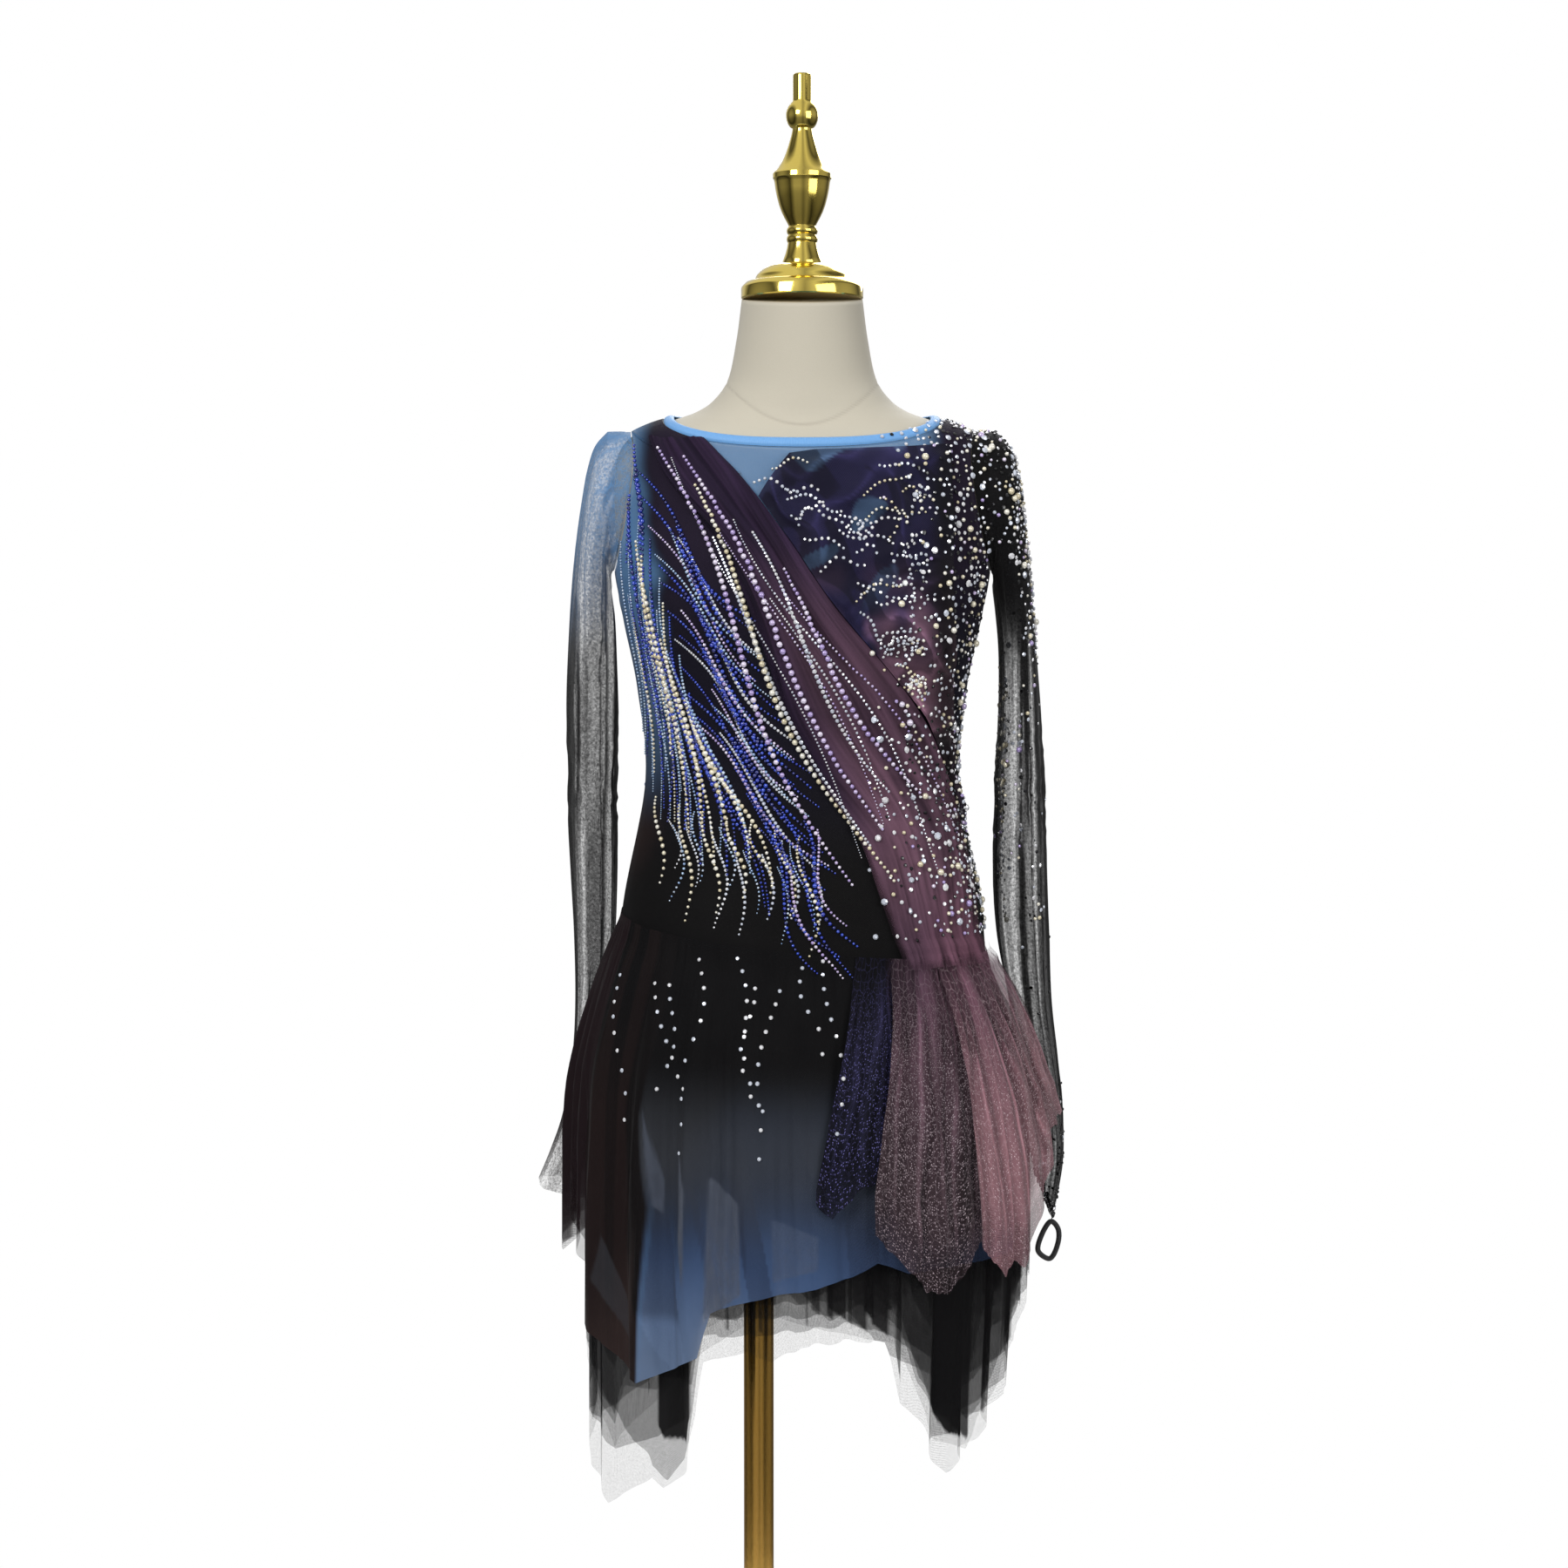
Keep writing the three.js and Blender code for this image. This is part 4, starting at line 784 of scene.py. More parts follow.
skirtPanels = {
    "skirt_front": {
        "from": -66, "to": 62, "top": 0.1, "layer": 0,
        "folds": [(-62, 8, 4), (-50, 6, -3.5), (-42, 5.5, 11), (-36, 4, -3.5), (-28, 5.5, 8.5),
                  (-21.5, 3.5, -3.5), (-13, 6, 6.5), (-5, 3.5, -3), (3, 5.5, 4), (11, 4.5, -3),
                  (40, 9, -2.5)],
        "hemAt": [-66, -42, -25.5, -23, -15, 0, 12, 18, 26, 62],
        "hemZ": [480, 441, 468, 505, 516, 526, 537, 549, 538, 545]},
    "skirt_side": {
        "from": -131, "to": -67.5, "top": 0.1, "layer": 1,
        "folds": [(-122, 7, 3), (-93, 5, 14), (-84, 4.5, 7.5), (-76.5, 4.5, 6)],
        "hemAt": [-131, -112, -99, -92, -84, -78, -67.5],
        "hemZ": [520, 505, 552, 530, 565, 538, 520]},
    "skirt_middle": {
        "from": -66.5, "to": 95, "top": 5, "layer": 1,
        "folds": [(-58, 6, -4), (-30, 4.5, -4), (-8, 5, -4), (20, 4.5, -4), (36, 4, -4.2), (52, 5, -4),
                  (74, 6, 3.5)],
        "hemAt": [-66.5, -58, -40, -26, -10, 8, 24, 36, 46, 64, 80, 95],
        "hemZ": [430, 376, 424, 470, 505, 490, 478, 392, 381, 452, 520, 505]},
    "skirt_under_front": {
        "from": -93, "to": 93, "top": 10, "layer": 2,
        "folds": [(-84, 5, -9), (-71, 5, -4), (-58, 4.5, -1), (-46, 4, -5), (-35, 4, -9), (-25, 3.5, -9),
                  (-15, 3.5, -10), (-4.5, 3, -13), (4, 3, -12), (12, 3, -13), (20, 3, -11), (29, 3.5, -12),
                  (39, 4, -13), (50, 4.5, -12), (62, 5, -11), (75, 5, -9), (86, 4.5, -8)],
        "hemAt": [-93, -82, -76, -62, -43, -39, -33, -29, -27, -15, -8,
                  0, 12, 22, 26, 34, 38, 42, 62, 72, 80, 93],
        "hemZ": [470, 380, 350, 324, 356, 348, 364, 415, 460, 470, 463,
                 475, 480, 478, 432, 402, 376, 360, 402, 432, 492, 480]},
    "skirt_back": {
        "from": 96.5, "to": 228, "top": 0.1, "layer": 1,
        "folds": [(108, 6, 3), (134, 7, 5), (150, 6, -3.5), (164, 7, 7), (178, 6, -3.5), (193, 8, 6),
                  (209, 6, -3), (221, 6, 4)],
        "hemAt": [96.5, 112, 132, 150, 172, 196, 213, 228],
        "hemZ": [505, 470, 505, 460, 520, 450, 500, 470]},
    "skirt_under_back": {
        "from": 94.5, "to": 265.5, "top": 10, "layer": 2,
        "folds": [(104, 6, -7), (126, 6, -9), (145, 6, -10), (163, 6, -9), (181, 6, -10), (199, 6, -9),
                  (217, 6, -10), (236, 6, -8), (256, 6, -7)],
        "hemAt": [94.5, 112, 128, 150, 180, 210, 232, 248, 265.5],
        "hemZ": [478, 440, 386, 430, 465, 430, 382, 440, 470]},
}


def skirtSurface(panel):
    def surface(u, v):
        angle = lerp(panel["from"], panel["to"], u)
        hem = np.interp(angle, panel["hemAt"], panel["hemZ"]) + 0.5 * softNoise(angle / 3, panel["layer"], 51)
        fall = lerp(panel["top"] - 2.6, seamHeight(angle) - hem, v)
        return skirtPoint(angle, fall, panel["layer"], panel["folds"])
    return surface


def skirtPleats(panel):
    # one field of small pleats for all layers, so that they nest
    def relief(u, v, p):
        angle = lerp(panel["from"], panel["to"], u)
        fall = seamHeight(angle) - p[..., 2]
        grow = smooth(fall, 4, 170)
        lean = angle + 2.5 * softNoise(fall / 90, angle / 25, 60)
        soft = 1.9 * softNoise(lean / 4.2, fall / 320, 61) + 0.9 * ridge(lean / 1.9, fall / 200, 62)
        gathers = ridge(angle / 1.7, fall / 60, 63) * smooth(fall, 2, 8) * (1 - smooth(fall, 12, 90))
        return grow * soft + 0.8 * gathers
    return relief


def within(angle, z, corners, soft=0.35):
    # 1 inside a shape with corners (angle, z) given clockwise from its top
    inside = 1.0
    for (a, low), (b, high) in zip(corners, corners[1:] + corners[:1]):
        length = math.hypot(b - a, (high - low) / 3)
        reach = ((angle - a) * (high - low) / 3 - (z - low) / 3 * (b - a)) / length
        inside = inside * smooth(reach, -soft, soft)
    return inside


sheerPatches = {  # where the front panel lies single: corners by angle and height, how pale, how blue
    "left fold": ([(-41, 668), (-36.2, 612), (-36.6, 586), (-38.6, 592)], 0.6, 0.2),
    "sliver": ([(-31, 638), (-28.6, 610), (-29.2, 525), (-30.4, 560)], 0.95, 0.1),
    "wide flap": ([(-23.3, 620), (-15.2, 600), (-14.6, 523), (-24.4, 498)], 0.7, 0.15),
    "small flap": ([(-7.4, 586), (3.6, 572), (3.6, 545), (-7.2, 533)], 0.6, 0.5),
}
skirtEdge = {"z": [430, 500, 590, 668, 760], "angle": [-42, -41.4, -39.4, -42.2, -39]}


def paintSkirtFront(u, v, p):
    angle, z = lerp(-66, 62, u), p[..., 2]
    away = angle - np.interp(z, skirtEdge["z"], skirtEdge["angle"])
    left = 1 - smooth(away, -0.5, 0.5)
    low = lerp(510, 540, smooth(angle, -36, -14)) + 14 * softNoise(angle / 7, z / 90, 72)
    dusk = 1 - smooth(z, low, lerp(650, 706, smooth(angle, -36, -14)))
    slant = angle + 0.055 * (z - 560)
    shards = doubled(slant / 6, z / 190, 73, 0.1, 0.05) * (1 - smooth(angle, 0, 14))
    # darker bands along the blue's folds: doubled cloth, and painted shade of the folds
    folds = doubled((angle + 0.02 * z) / 2.6, z / 420, 76, 0.2, 0.06)
    blue = blend(dyes["black"], dyes["denim"], dusk * lerp(1, 0.6, smooth(z, 480, 600)))
    blue = blend(blue, colour(118, 136, 160), 0.6 * (1 - smooth(z + 0.8 * angle, 430, 540)))
    blue = blend(blue, dyes["night"], (0.45 * shards * smooth(z, 490, 505) + 0.22 * folds) * dusk)
    blue = blend(blue, dyes["night"], 0.5 * smooth(angle, 4, 20) * dusk)
    # painted highlight: a pale blue line along the edge of the blue, where the dark fold meets it
    edgeHighlight = 0.16 * (1 - smooth(np.abs(away - 0.7), 0.2, 0.6)) * (1 - smooth(z, 560, 620))
    blue = blend(blue, dyes["sky"] * 0.8, edgeHighlight)
    blue = blend(blue, dyes["smoke"] * 0.45, 0.75 * swell((z - 630) / 90))
    depth = 0.5 * doubled(angle / 5, z / 500, 75, 0.1, 0.2) + 0.5 * smooth(z, 640, 780)
    dark = blend(dyes["brown"], dyes["black"], depth)
    dark = blend(dark, dyes["black"], 0.8 * smooth(away, -9, -7) * smooth(z, 486 - 7 * away, 500 - 7 * away))
    warm = 0.7 * (1 - smooth(z - 4 * away, 500, 610)) * (1 - smooth(away, -4, -1.5))
    dark = blend(dark, colour(58, 45, 43), warm)
    flap = within(angle, z, [(-58, 560), (-48, 510), (-45, 470), (-62, 520)])
    dark = blend(dark, dyes["smoke"] * 0.5, 0.4 * flap)
    cover = 0.97 - 0.12 * dusk * (1 - left) * (1 - shards)
    shade = blend(blue, dark, left)
    for corners, pale, tone in sheerPatches.values():
        patch = within(angle, z, corners) * (0.8 + 0.2 * softNoise(angle * 1.4, z / 7, 77))
        shade = blend(shade, blend(dyes["smoke"] * 1.4, dyes["denim"], tone), pale * patch)
        cover = cover - 0.2 * pale * patch
    return shade, cover


def zigzag(x):
    return 2 * np.abs(x - np.floor(x + 0.5))


def paintDark(panel, seed, shade, look):
    # sheer black: plies with straight-cut crossing hems, solid strips of folds and painted shade, single at
    # the points
    def paint(u, v, p):
        angle, z = lerp(panel["from"], panel["to"], u), p[..., 2]
        fall, hem = seamHeight(angle) - z, np.interp(angle, panel["hemAt"], panel["hemZ"])
        rise = z - hem
        waves = 24 * softNoise(angle / 11, z / 75, seed + 3)
        moire = np.sin(waves + 7 * softNoise(angle / 4, z / 30, seed + 4))
        plies = []
        for number, (start, height, width) in enumerate(look["plies"]):
            edge = hem + start + height * zigzag(angle / width + 0.37 * seed + 0.31 * number)
            if "hems" in look:
                at, heights = look["hems"][number]
                edge = np.interp(angle, at, heights)
            plies.append(z - edge)
        sheer = look["single"] + 0.19 * moire * smooth(-fall, -380, -240) * smooth(rise, 30, 45)
        cover = lerp(sheer, 0.98, smooth(-fall, -290, -110))
        bands = doubled((angle + 0.07 * (z - 480)) / 5.5, z / 300, seed, 0.05, 0.05)
        cover = lerp(cover, 0.97, look["bands"] * bands * smooth(np.minimum(plies[0], plies[1]), 0, 3))
        # strips made solid: folded cloth, with painted shade between the folds
        for at, end, dark in look["strips"]:
            low = look["stripHem"] * (0.4 + 0.6 * zigzag(at * 0.23 + 0.1) - 0.14 * (angle - end))
            strip = smooth(angle, at - 0.15, at + 0.15) * (1 - smooth(angle, end - 0.15, end + 0.15))
            cover = lerp(cover, 0.98, dark * strip * smooth(rise, low - 1.3, low + 1.3))
        return shade + 0 * p, cover, np.stack(plies, -1)
    return paint


underHems = [  # the under layer's three plies, by their hems' corners: angles and heights
    ([-93, -69, -38, -31, -27, -15, 0, 12, 22, 30, 35.2, 48, 62, 72, 80, 93],
     [455, 431, 355, 392, 482, 484, 489, 494, 486, 470, 425, 402, 440, 470, 510, 505]),
    ([-93, -82, -72, -59, -41.5, -30, -27, -15, 0, 12, 23, 35, 36, 48, 62, 72, 93],
     [480, 398, 393, 412, 445, 440, 496, 500, 500, 504, 467, 448, 385, 402, 416, 446, 530]),
    ([-93, -82, -75, -59, -41, -33, -27, -15, 0, 12, 22, 30, 48, 62, 72, 93],
     [490, 430, 392, 373, 392, 410, 506, 512, 512, 515, 500, 474, 430, 470, 500, 540]),
]
sheerLooks = {
    # the cover of one ply; each further ply's start above the hem and its zigzag's height and width;
    # and the strips of folded cloth and painted shade, from one angle to another with how solid they are
    "side": {
        "single": 0.4, "plies": [(8, 16, 17), (20, 26, 12), (40, 30, 22)], "bands": 0.5, "stripHem": 10,
        "strips": [(-96, -90, 0.8)]},
    "middle": {
        "single": 0.14, "plies": [(8, 30, 23), (16, 40, 31), (60, 40, 26)], "bands": 0.2, "stripHem": 12,
        "strips": [(-35, -31, 0.9), (-8, -6.6, 0.6), (2, 4.4, 0.8), (6, 10.8, 0.95), (12.4, 16, 0.9),
                   (17, 22, 0.95), (35, 47, 0.95), (60, 66, 0.7), (78, 84, 0.6)]},
    "under": {
        "single": 0.11, "plies": [(14, 50, 30)] * 3, "hems": underHems, "bands": 0.1, "stripHem": 22,
        "strips": [(-87, -81, 0.6), (-41, -30.5, 1), (-20, -19.2, 0.8), (-11.4, -10.2, 0.7), (1, 1.9, 0.6),
                   (6.2, 7.6, 0.8), (12, 13.2, 0.9), (15.6, 19, 0.95), (24.5, 27.5, 0.8), (35.4, 48.2, 1),
                   (55, 56.5, 0.7), (62, 63.4, 0.6), (70, 76, 0.7)]},
    "back": {
        "single": 0.38, "plies": [(10, 20, 19), (20, 30, 26), (46, 30, 22)], "bands": 0.4, "stripHem": 12,
        "strips": [(120, 128, 0.7), (158, 166, 0.8), (190, 197, 0.8), (214, 220, 0.7)]},
    "under back": {
        "single": 0.16, "plies": [(14, 46, 27), (24, 50, 35), (70, 40, 31)], "bands": 0.2, "stripHem": 20,
        "strips": [(102, 108, 0.8), (124, 133, 0.95), (152, 156, 0.7), (172, 184, 0.9), (205, 209, 0.7),
                   (228, 236, 0.95), (250, 256, 0.7)]},
}
darkPaints = {
    "skirt_side": (81, blend(dyes["maroon"], dyes["black"], 0.55), sheerLooks["side"]),
    "skirt_middle": (83, dyes["black"], sheerLooks["middle"]),
    "skirt_under_front": (85, dyes["black"], sheerLooks["under"]),
    "skirt_back": (87, blend(dyes["black"], dyes["night"], 0.6), sheerLooks["back"]),
    "skirt_under_back": (89, dyes["black"], sheerLooks["under back"]),
}
skirtPaints = {name: paintDark(skirtPanels[name], *how) for name, how in darkPaints.items()}
skirtPaints["skirt_front"] = paintSkirtFront
for panelName, panel in skirtPanels.items():
    wide = panel["to"] - panel["from"]
    rows = np.concatenate([np.linspace(0, 0.5, 26)[:-1], np.linspace(0.5, 1, 70)])
    cloth = fabrics["mesh" if panelName == "skirt_front" else "plied"]
    makeCloth("cloth_" + panelName, skirtSurface(panel), int(wide * 2), None, skirtPaints[panelName], cloth,
              relief=skirtPleats(panel), down=rows)
print("skirt layers made")

tulles = {
    "tulle_navy": {
        "topFrom": 14, "from": 3, "topTo": 26, "to": 21, "layer": -1, "flare": 0,
        "folds": [(10, 4, 2.5), (18, 3.5, 2)],
        "hemAt": [0, 0.2, 0.55, 1], "hemZ": [600, 588, 612, 622], "fabric": "glitterNavy"},
    "tulle_plum": {
        "topFrom": 25, "from": 16, "topTo": 56, "to": 52, "layer": -2.1, "flare": 0,
        "folds": [(24, 3.5, 3), (31, 3.5, 4.5), (38, 3, 3.5), (45, 3, 4)],
        "hemAt": [0, 0.34, 0.51, 0.62, 0.75, 1],
        "hemZ": [575, 526, 521, 541, 562, 575], "fabric": "glitterPlum"},
    "tulle_rose": {
        "topFrom": 42, "from": 41, "topTo": 94, "to": 100, "layer": -3.3, "flare": 4,
        "folds": [(39, 3, 4), (47, 3, 3), (54, 3.5, 5), (61, 3, 4), (68, 3.5, 5.5), (76, 3.5, 5),
                  (85, 4.5, 6), (94, 4, 4)],
        "hemAt": [0, 0.06, 0.12, 0.17, 0.22, 0.3, 0.35, 0.53, 0.66, 1],
        "hemZ": [560, 548, 532, 544, 538, 563, 585, 642, 652, 660], "fabric": "glitterRose"},
}


def tulleSurface(petal):
    def surface(u, v):
        low = lerp(petal["from"], petal["to"], u)
        hem = seamHeight(low) - np.interp(u, petal["hemAt"], petal["hemZ"])
        hem = hem + 1.5 * softNoise(low * 1.4, 0 * u, 91)
        fall = lerp(-2.6, hem, v)
        swing = np.clip(fall / 190, 0, 1)
        right = lerp(petal["topFrom"], petal["from"], swing)
        angle = lerp(right, lerp(petal["topTo"], petal["to"], swing), u)
        point = skirtPoint(angle, fall, petal["layer"], petal["folds"])
        point[..., 0] += petal["flare"] * swing * swell(np.clip((angle - 86) / 50, -1, 1))
        return point
    return surface


def tulleLine(petal, u, v, seed):
    # the folds fan out from the seam with the petal's own edges
    return u * (petal["to"] - petal["from"]) + 1.2 * softNoise(v * 4, u * 6, seed)


def tulleCrinkle(petal):
    def relief(u, v, p):
        x, z = p[..., 0] - 0.4 * p[..., 1], p[..., 2]
        line, grow = tulleLine(petal, u, v, 95), smooth(v, 0.0, 0.4)
        folds = 3.2 * ridge(line / 4.3, v * 1.4, 96) + 0.7 * ridge(line / 1.7, v * 3, 97)
        creased = ridge((x + z * 0.4) / 22, (z - x) / 34, 98) * smooth(v, 0.4, 0.7)
        gathers = (1 - grow) * smooth(v, 0, 0.05) * ridge(line / 1.1, v * 8, 99)
        flush = (-1.8 * petal["layer"] - 1.6) * (1 - smooth(v, 0.01, 0.09))
        return grow * (folds + 0.9 * creased) + 0.9 * gathers - flush
    return relief


# painted highlight lines along the petals' creases, each with a darker doubled band beside it
petalCreaseHighlights = [  # where each starts, how much it slants and how light it is
    (0.1, 0.3, 0.5), (0.27, 0.1, 0.9), (0.42, 0.35, 0.6),
    (0.56, -0.1, 0.9), (0.7, 0.25, 0.6), (0.86, 0.1, 0.7),
]


def paintTulle(name, petal):
    top, low, side, cover = {
        "tulle_navy": (colour(26, 24, 44), colour(16, 16, 30), colour(20, 19, 38), 0.96),
        "tulle_plum": (colour(90, 66, 77), colour(65, 51, 56), colour(84, 66, 73), 0.9),
        "tulle_rose": (colour(118, 84, 95), colour(160, 117, 124), colour(196, 160, 166), 0.84),
    }[name]

    def paint(u, v, p):
        line = tulleLine(petal, u, v, 95)
        shade = blend(top, low, smooth(v, 0.1, 0.75))
        shade = blend(shade, side, smooth(u, 0.55, 1) * smooth(v, 0.3, 0.8))
        shade = blend(hipShade(p[..., 0]), shade, smooth(v, 0.02, 0.3))
        layered = doubled(line / 6, v * 1.6, 101, -0.1, 0.07)
        twice = doubled((line + 9 * v) / 7, v * 2.2, 102, 0.15, 0.07)
        # painted highlight: the crests of the relief's folds are coloured lighter
        crestHighlight = np.clip(ridge(line / 4.3, v * 1.4, 96), 0, 1) ** 4
        crestHighlight = crestHighlight + 0.6 * np.clip(ridge(line / 1.7, v * 3, 97), 0, 1) ** 6
        tone = 0.95 + 0.3 * crestHighlight + 0.16 * softNoise(line / 1.1, v * 2, 103)
        shade = shade * (tone - 0.3 * layered - 0.26 * twice)[..., None]
        # lit: a painted highlight line, and beside it a darker band where the cloth lies doubled
        for at, slant, light in petalCreaseHighlights:
            away = line - at * (petal["to"] - petal["from"]) - slant * (v - 0.5) * 14
            away = away - 0.7 * softNoise(v * 5, 0 * v + at, 105)
            lit = 1.5 * np.exp(-(away / 0.4) ** 2) - 0.5 * swell((away - 1.8) / 1.8) * smooth(away, 0.1, 0.5)
            shade = shade * (1 + light * lit * smooth(v, 0.08, 0.25) * (1 - smooth(v, 0.8, 0.97)))[..., None]
        near = smooth(v, 0.8 + 0.08 * softNoise(line / 4, 0 * v, 104), 0.93)
        rear = smooth(u + 0.03 * softNoise(v * 5, 0 * u, 106), 0.78, 1) * (petal["to"] > 90)
        topFade = 0.6 * (1 - smooth(v, 0.01, 0.09)) * smooth(u, 0.5, 0.8)
        sheer = near * (0.22 + 0.2 * smooth(u, 0.75, 1)) + 0.7 * rear + topFade
        return blend(shade, dyes["maroon"], 0.7 * rear), cover + 0.08 * layered + 0.05 * twice - sheer
    return paint


for tulleName, petal in tulles.items():
    wide = petal["to"] - petal["from"]
    makeCloth("cloth_" + tulleName, tulleSurface(petal), int(wide * 3), 90, paintTulle(tulleName, petal),
              fabrics[petal["fabric"]], relief=tulleCrinkle(petal))
print("tulle petals made")

# finger loop
loopCord = {"radius": 2.4, "sides": 14, "steps": 120}
loopPath = np.array([(222, 95, 537.4), (228.5, 94.5, 532), (229.5, 93.5, 522), (225.5, 92.8, 509),
                     (220, 92.5, 504.5), (211, 92.5, 512), (214.5, 94, 526)])


def closedCurve(points, count):
    # a smooth closed curve through the points
    t = np.linspace(0, len(points), count, endpoint=False)
    i = np.floor(t).astype(int)
    s = (t - i)[:, None]
    a, b, c, d = (points[(i + k) % len(points)] for k in (-1, 0, 1, 2))
    second, third = 2 * a - 5 * b + 4 * c - d, 3 * b - a - 3 * c + d
    return 0.5 * (2 * b + (c - a) * s + second * s ** 2 + third * s ** 3)


def makeLoop():
    line = closedCurve(loopPath, loopCord["steps"])
    ahead = np.roll(line, -1, 0) - np.roll(line, 1, 0)
    ahead /= np.linalg.norm(ahead, axis=1, keepdims=True)
    side = np.cross(ahead, [0, 1, 0])
    side /= np.linalg.norm(side, axis=1, keepdims=True)
    third = np.cross(ahead, side)
    turn = np.linspace(0, 2 * math.pi, loopCord["sides"], endpoint=False)
    ring = line[:, None] + loopCord["radius"] * (
        np.cos(turn)[None, :, None] * side[:, None] + np.sin(turn)[None, :, None] * third[:, None])
    n, m = ring.shape[:2]
    j, i = np.meshgrid(np.arange(n), np.arange(m), indexing="ij")
    nextRow, nextColumn = (j + 1) % n, (i + 1) % m
    faces = np.stack([j * m + i, j * m + nextColumn, nextRow * m + nextColumn, nextRow * m + i], -1)
    cord = Shader("blackCord", Sheen_Weight=0.3)
    braid = cord.noise(1500, 2)
    shade = cord.mix(braid, (0.004, 0.004, 0.005, 1), (0.02, 0.02, 0.024, 1))
    cord.feed(Base_Color=shade, Roughness=braid * 0.2 + 0.5, Normal=cord.bump(braid, 0.5, 0.0004))
    standFor(addMesh("cord_finger_loop", ring, faces.reshape(-1, 4).tolist(), cord.material), "finger_loop")


makeLoop()

# the form
formCover = {"columns": 128, "rows": 170, "seam": 1246, "seamCurve": 0.0082, "groove": 0.5}


def seamReach(points):
    # how far above the neck seam
    return points[..., 2] - formCover["seam"] - formCover["seamCurve"] * points[..., 0] ** 2


def makeForm():
    columns, rows = formCover["columns"], formCover["rows"]
    u, v = np.meshgrid(np.linspace(0, 1, columns + 1), np.linspace(0, 1, rows + 1))
    points = ringPoint(u * 360, lerp(16, 0, v))
    groove = -formCover["groove"] * np.exp(-(seamReach(points) / 1.3) ** 2)
    points = points + normalsOf(points, True) * groove[..., None]
    points = points[:, :columns]
    faces = gridFaces(columns + 1, rows + 1, ring=True)[0].tolist()
    faces.append(list(range(columns)))
    faces.append([rows * columns + k for k in reversed(range(columns))])
    cover = Shader("formJersey", Sheen_Weight=0.25, Sheen_Roughness=0.5, Specular_IOR_Level=0.2)
    fine, patchy = cover.noise(1400, 2), cover.noise(9, 3)
    shade = cover.mix(patchy * 0.6, (*colour(199, 193, 177), 1), (*colour(187, 181, 164), 1))
    shade = cover.mix(fine * 0.25, shade, (*colour(176, 167, 152), 1))
    shade = cover.mix(cover.attribute("seam") * 0.35, shade, (*colour(150, 142, 130), 1))
    cover.feed(Base_Color=shade, Roughness=fine * 0.15 + 0.78, Normal=cover.bump(fine, 0.3, 0.0005))
    piece = addMesh("form_body", points, faces, cover.material)
    addValue(piece.data, "seam", np.exp(-(seamReach(points).reshape(-1) / 1.2) ** 2))
    standFor(piece, "form_torso")


makeForm()
print("form made")

# brass
def brass(name, bright, dark, rough, smear):
    shader = Shader(name, Metallic=1.0)
    lengthwise = shader.wire("ShaderNodeMapping", 0, {},
                             {"Vector": shader.place(), "Scale": (smear, smear, 1)})
    cloud, fine = shader.noise(6, 4, lengthwise), shader.noise(260, 2, lengthwise)
    shade = shader.mix(cloud, (*bright, 1), (*dark, 1))
    polish = cloud * rough * 0.8 + fine * rough * 0.4 + rough * 0.3
    return shader.feed(Base_Color=shade, Roughness=polish, Normal=shader.bump(fine, 0.04, 0.0003))


polished = brass("polishedBrass", colour(250, 228, 122), colour(236, 206, 98), 0.12, 1)
aged = brass("agedBrass", colour(252, 204, 108), colour(228, 172, 82), 0.2, 3)
capThickness = 29
turnings = {  # radius and height in mm of each turned piece
    "brass_neck_cap": {
        "replaces": "neck_cap", "base": neckTop + 0.3, "lean": True, "x": bodyOffset, "finish": polished,
        "profile": [(51, 0), (52, 1), (52, 9), (51.4, 10.4), (48, 13.8), (44, 15), (41.2, 15.6), (39.9, 17),
                    (39.4, 19), (38.4, 20.6), (34.5, 24.4), (30, 27.2), (26, 28.6), (18, 29), (2, 29)]},
    "brass_finial": {
        "replaces": "finial", "base": neckTop + capThickness + 0.6, "lean": True, "x": bodyOffset,
        "finish": polished,
        "profile": [(15.8, 0), (16.6, 0.8), (16.6, 2.6), (15.8, 5), (14.4, 9), (13, 14), (12.2, 18.6),
                    (12.9, 19.8), (13.3, 21.5), (12.9, 23.6), (11.9, 24.9), (11.8, 25.4), (12.8, 26.6),
                    (13.3, 28.6), (12.9, 30.6), (11.7, 32), (11.5, 33), (13, 36), (15.2, 40), (17.6, 45),
                    (19.8, 51), (21.6, 58), (22.8, 64), (23.6, 70), (24.2, 72.6), (25.1, 73.6),
                    (25.1, 77.4), (24.2, 78.6), (22.6, 80), (20.2, 83), (17.6, 87), (15.6, 91),
                    (13.8, 95.5), (12.3, 100), (10.8, 105), (9.6, 109), (8.7, 113), (8.3, 115),
                    (8.4, 116), (10.4, 117.4), (12, 119.6), (13.2, 122.6), (13.8, 126), (13.8, 129),
                    (13.1, 132), (11.8, 134.8), (10, 137.2), (8.4, 138.8), (7.9, 140.2), (7.9, 160.6),
                    (7.5, 162.2), (6.6, 162.9), (1, 163)]},
    "brass_socket": {
        "replaces": "pole_socket", "base": 635.7, "lean": False, "x": 0, "finish": aged,
        "profile": [(33, 0), (34, 1), (34, 8), (33, 9), (2, 9)]},
    "brass_pole": {
        "replaces": "stand_pole", "base": 13.3, "lean": False, "x": 0, "finish": aged,
        "profile": [(12.4, 0), (13, 0.6), (13, 2), (13, 210), (13, 415), (13, 620), (13, 621.4),
                    (12.4, 622), (2, 622)]},
    "brass_foot": {
        "replaces": "stand_foot", "base": 0, "lean": False, "x": 0, "finish": aged,
        "profile": [(149, 0), (150, 0.8), (150, 4.6), (149.4, 6.4), (147.6, 8.2), (145, 9), (60, 10.9),
                    (26, 12.6), (22, 13), (2, 13)]},
}


def editAll():
    bpy.ops.object.mode_set(mode="EDIT")
    bpy.ops.mesh.select_all(action="SELECT")


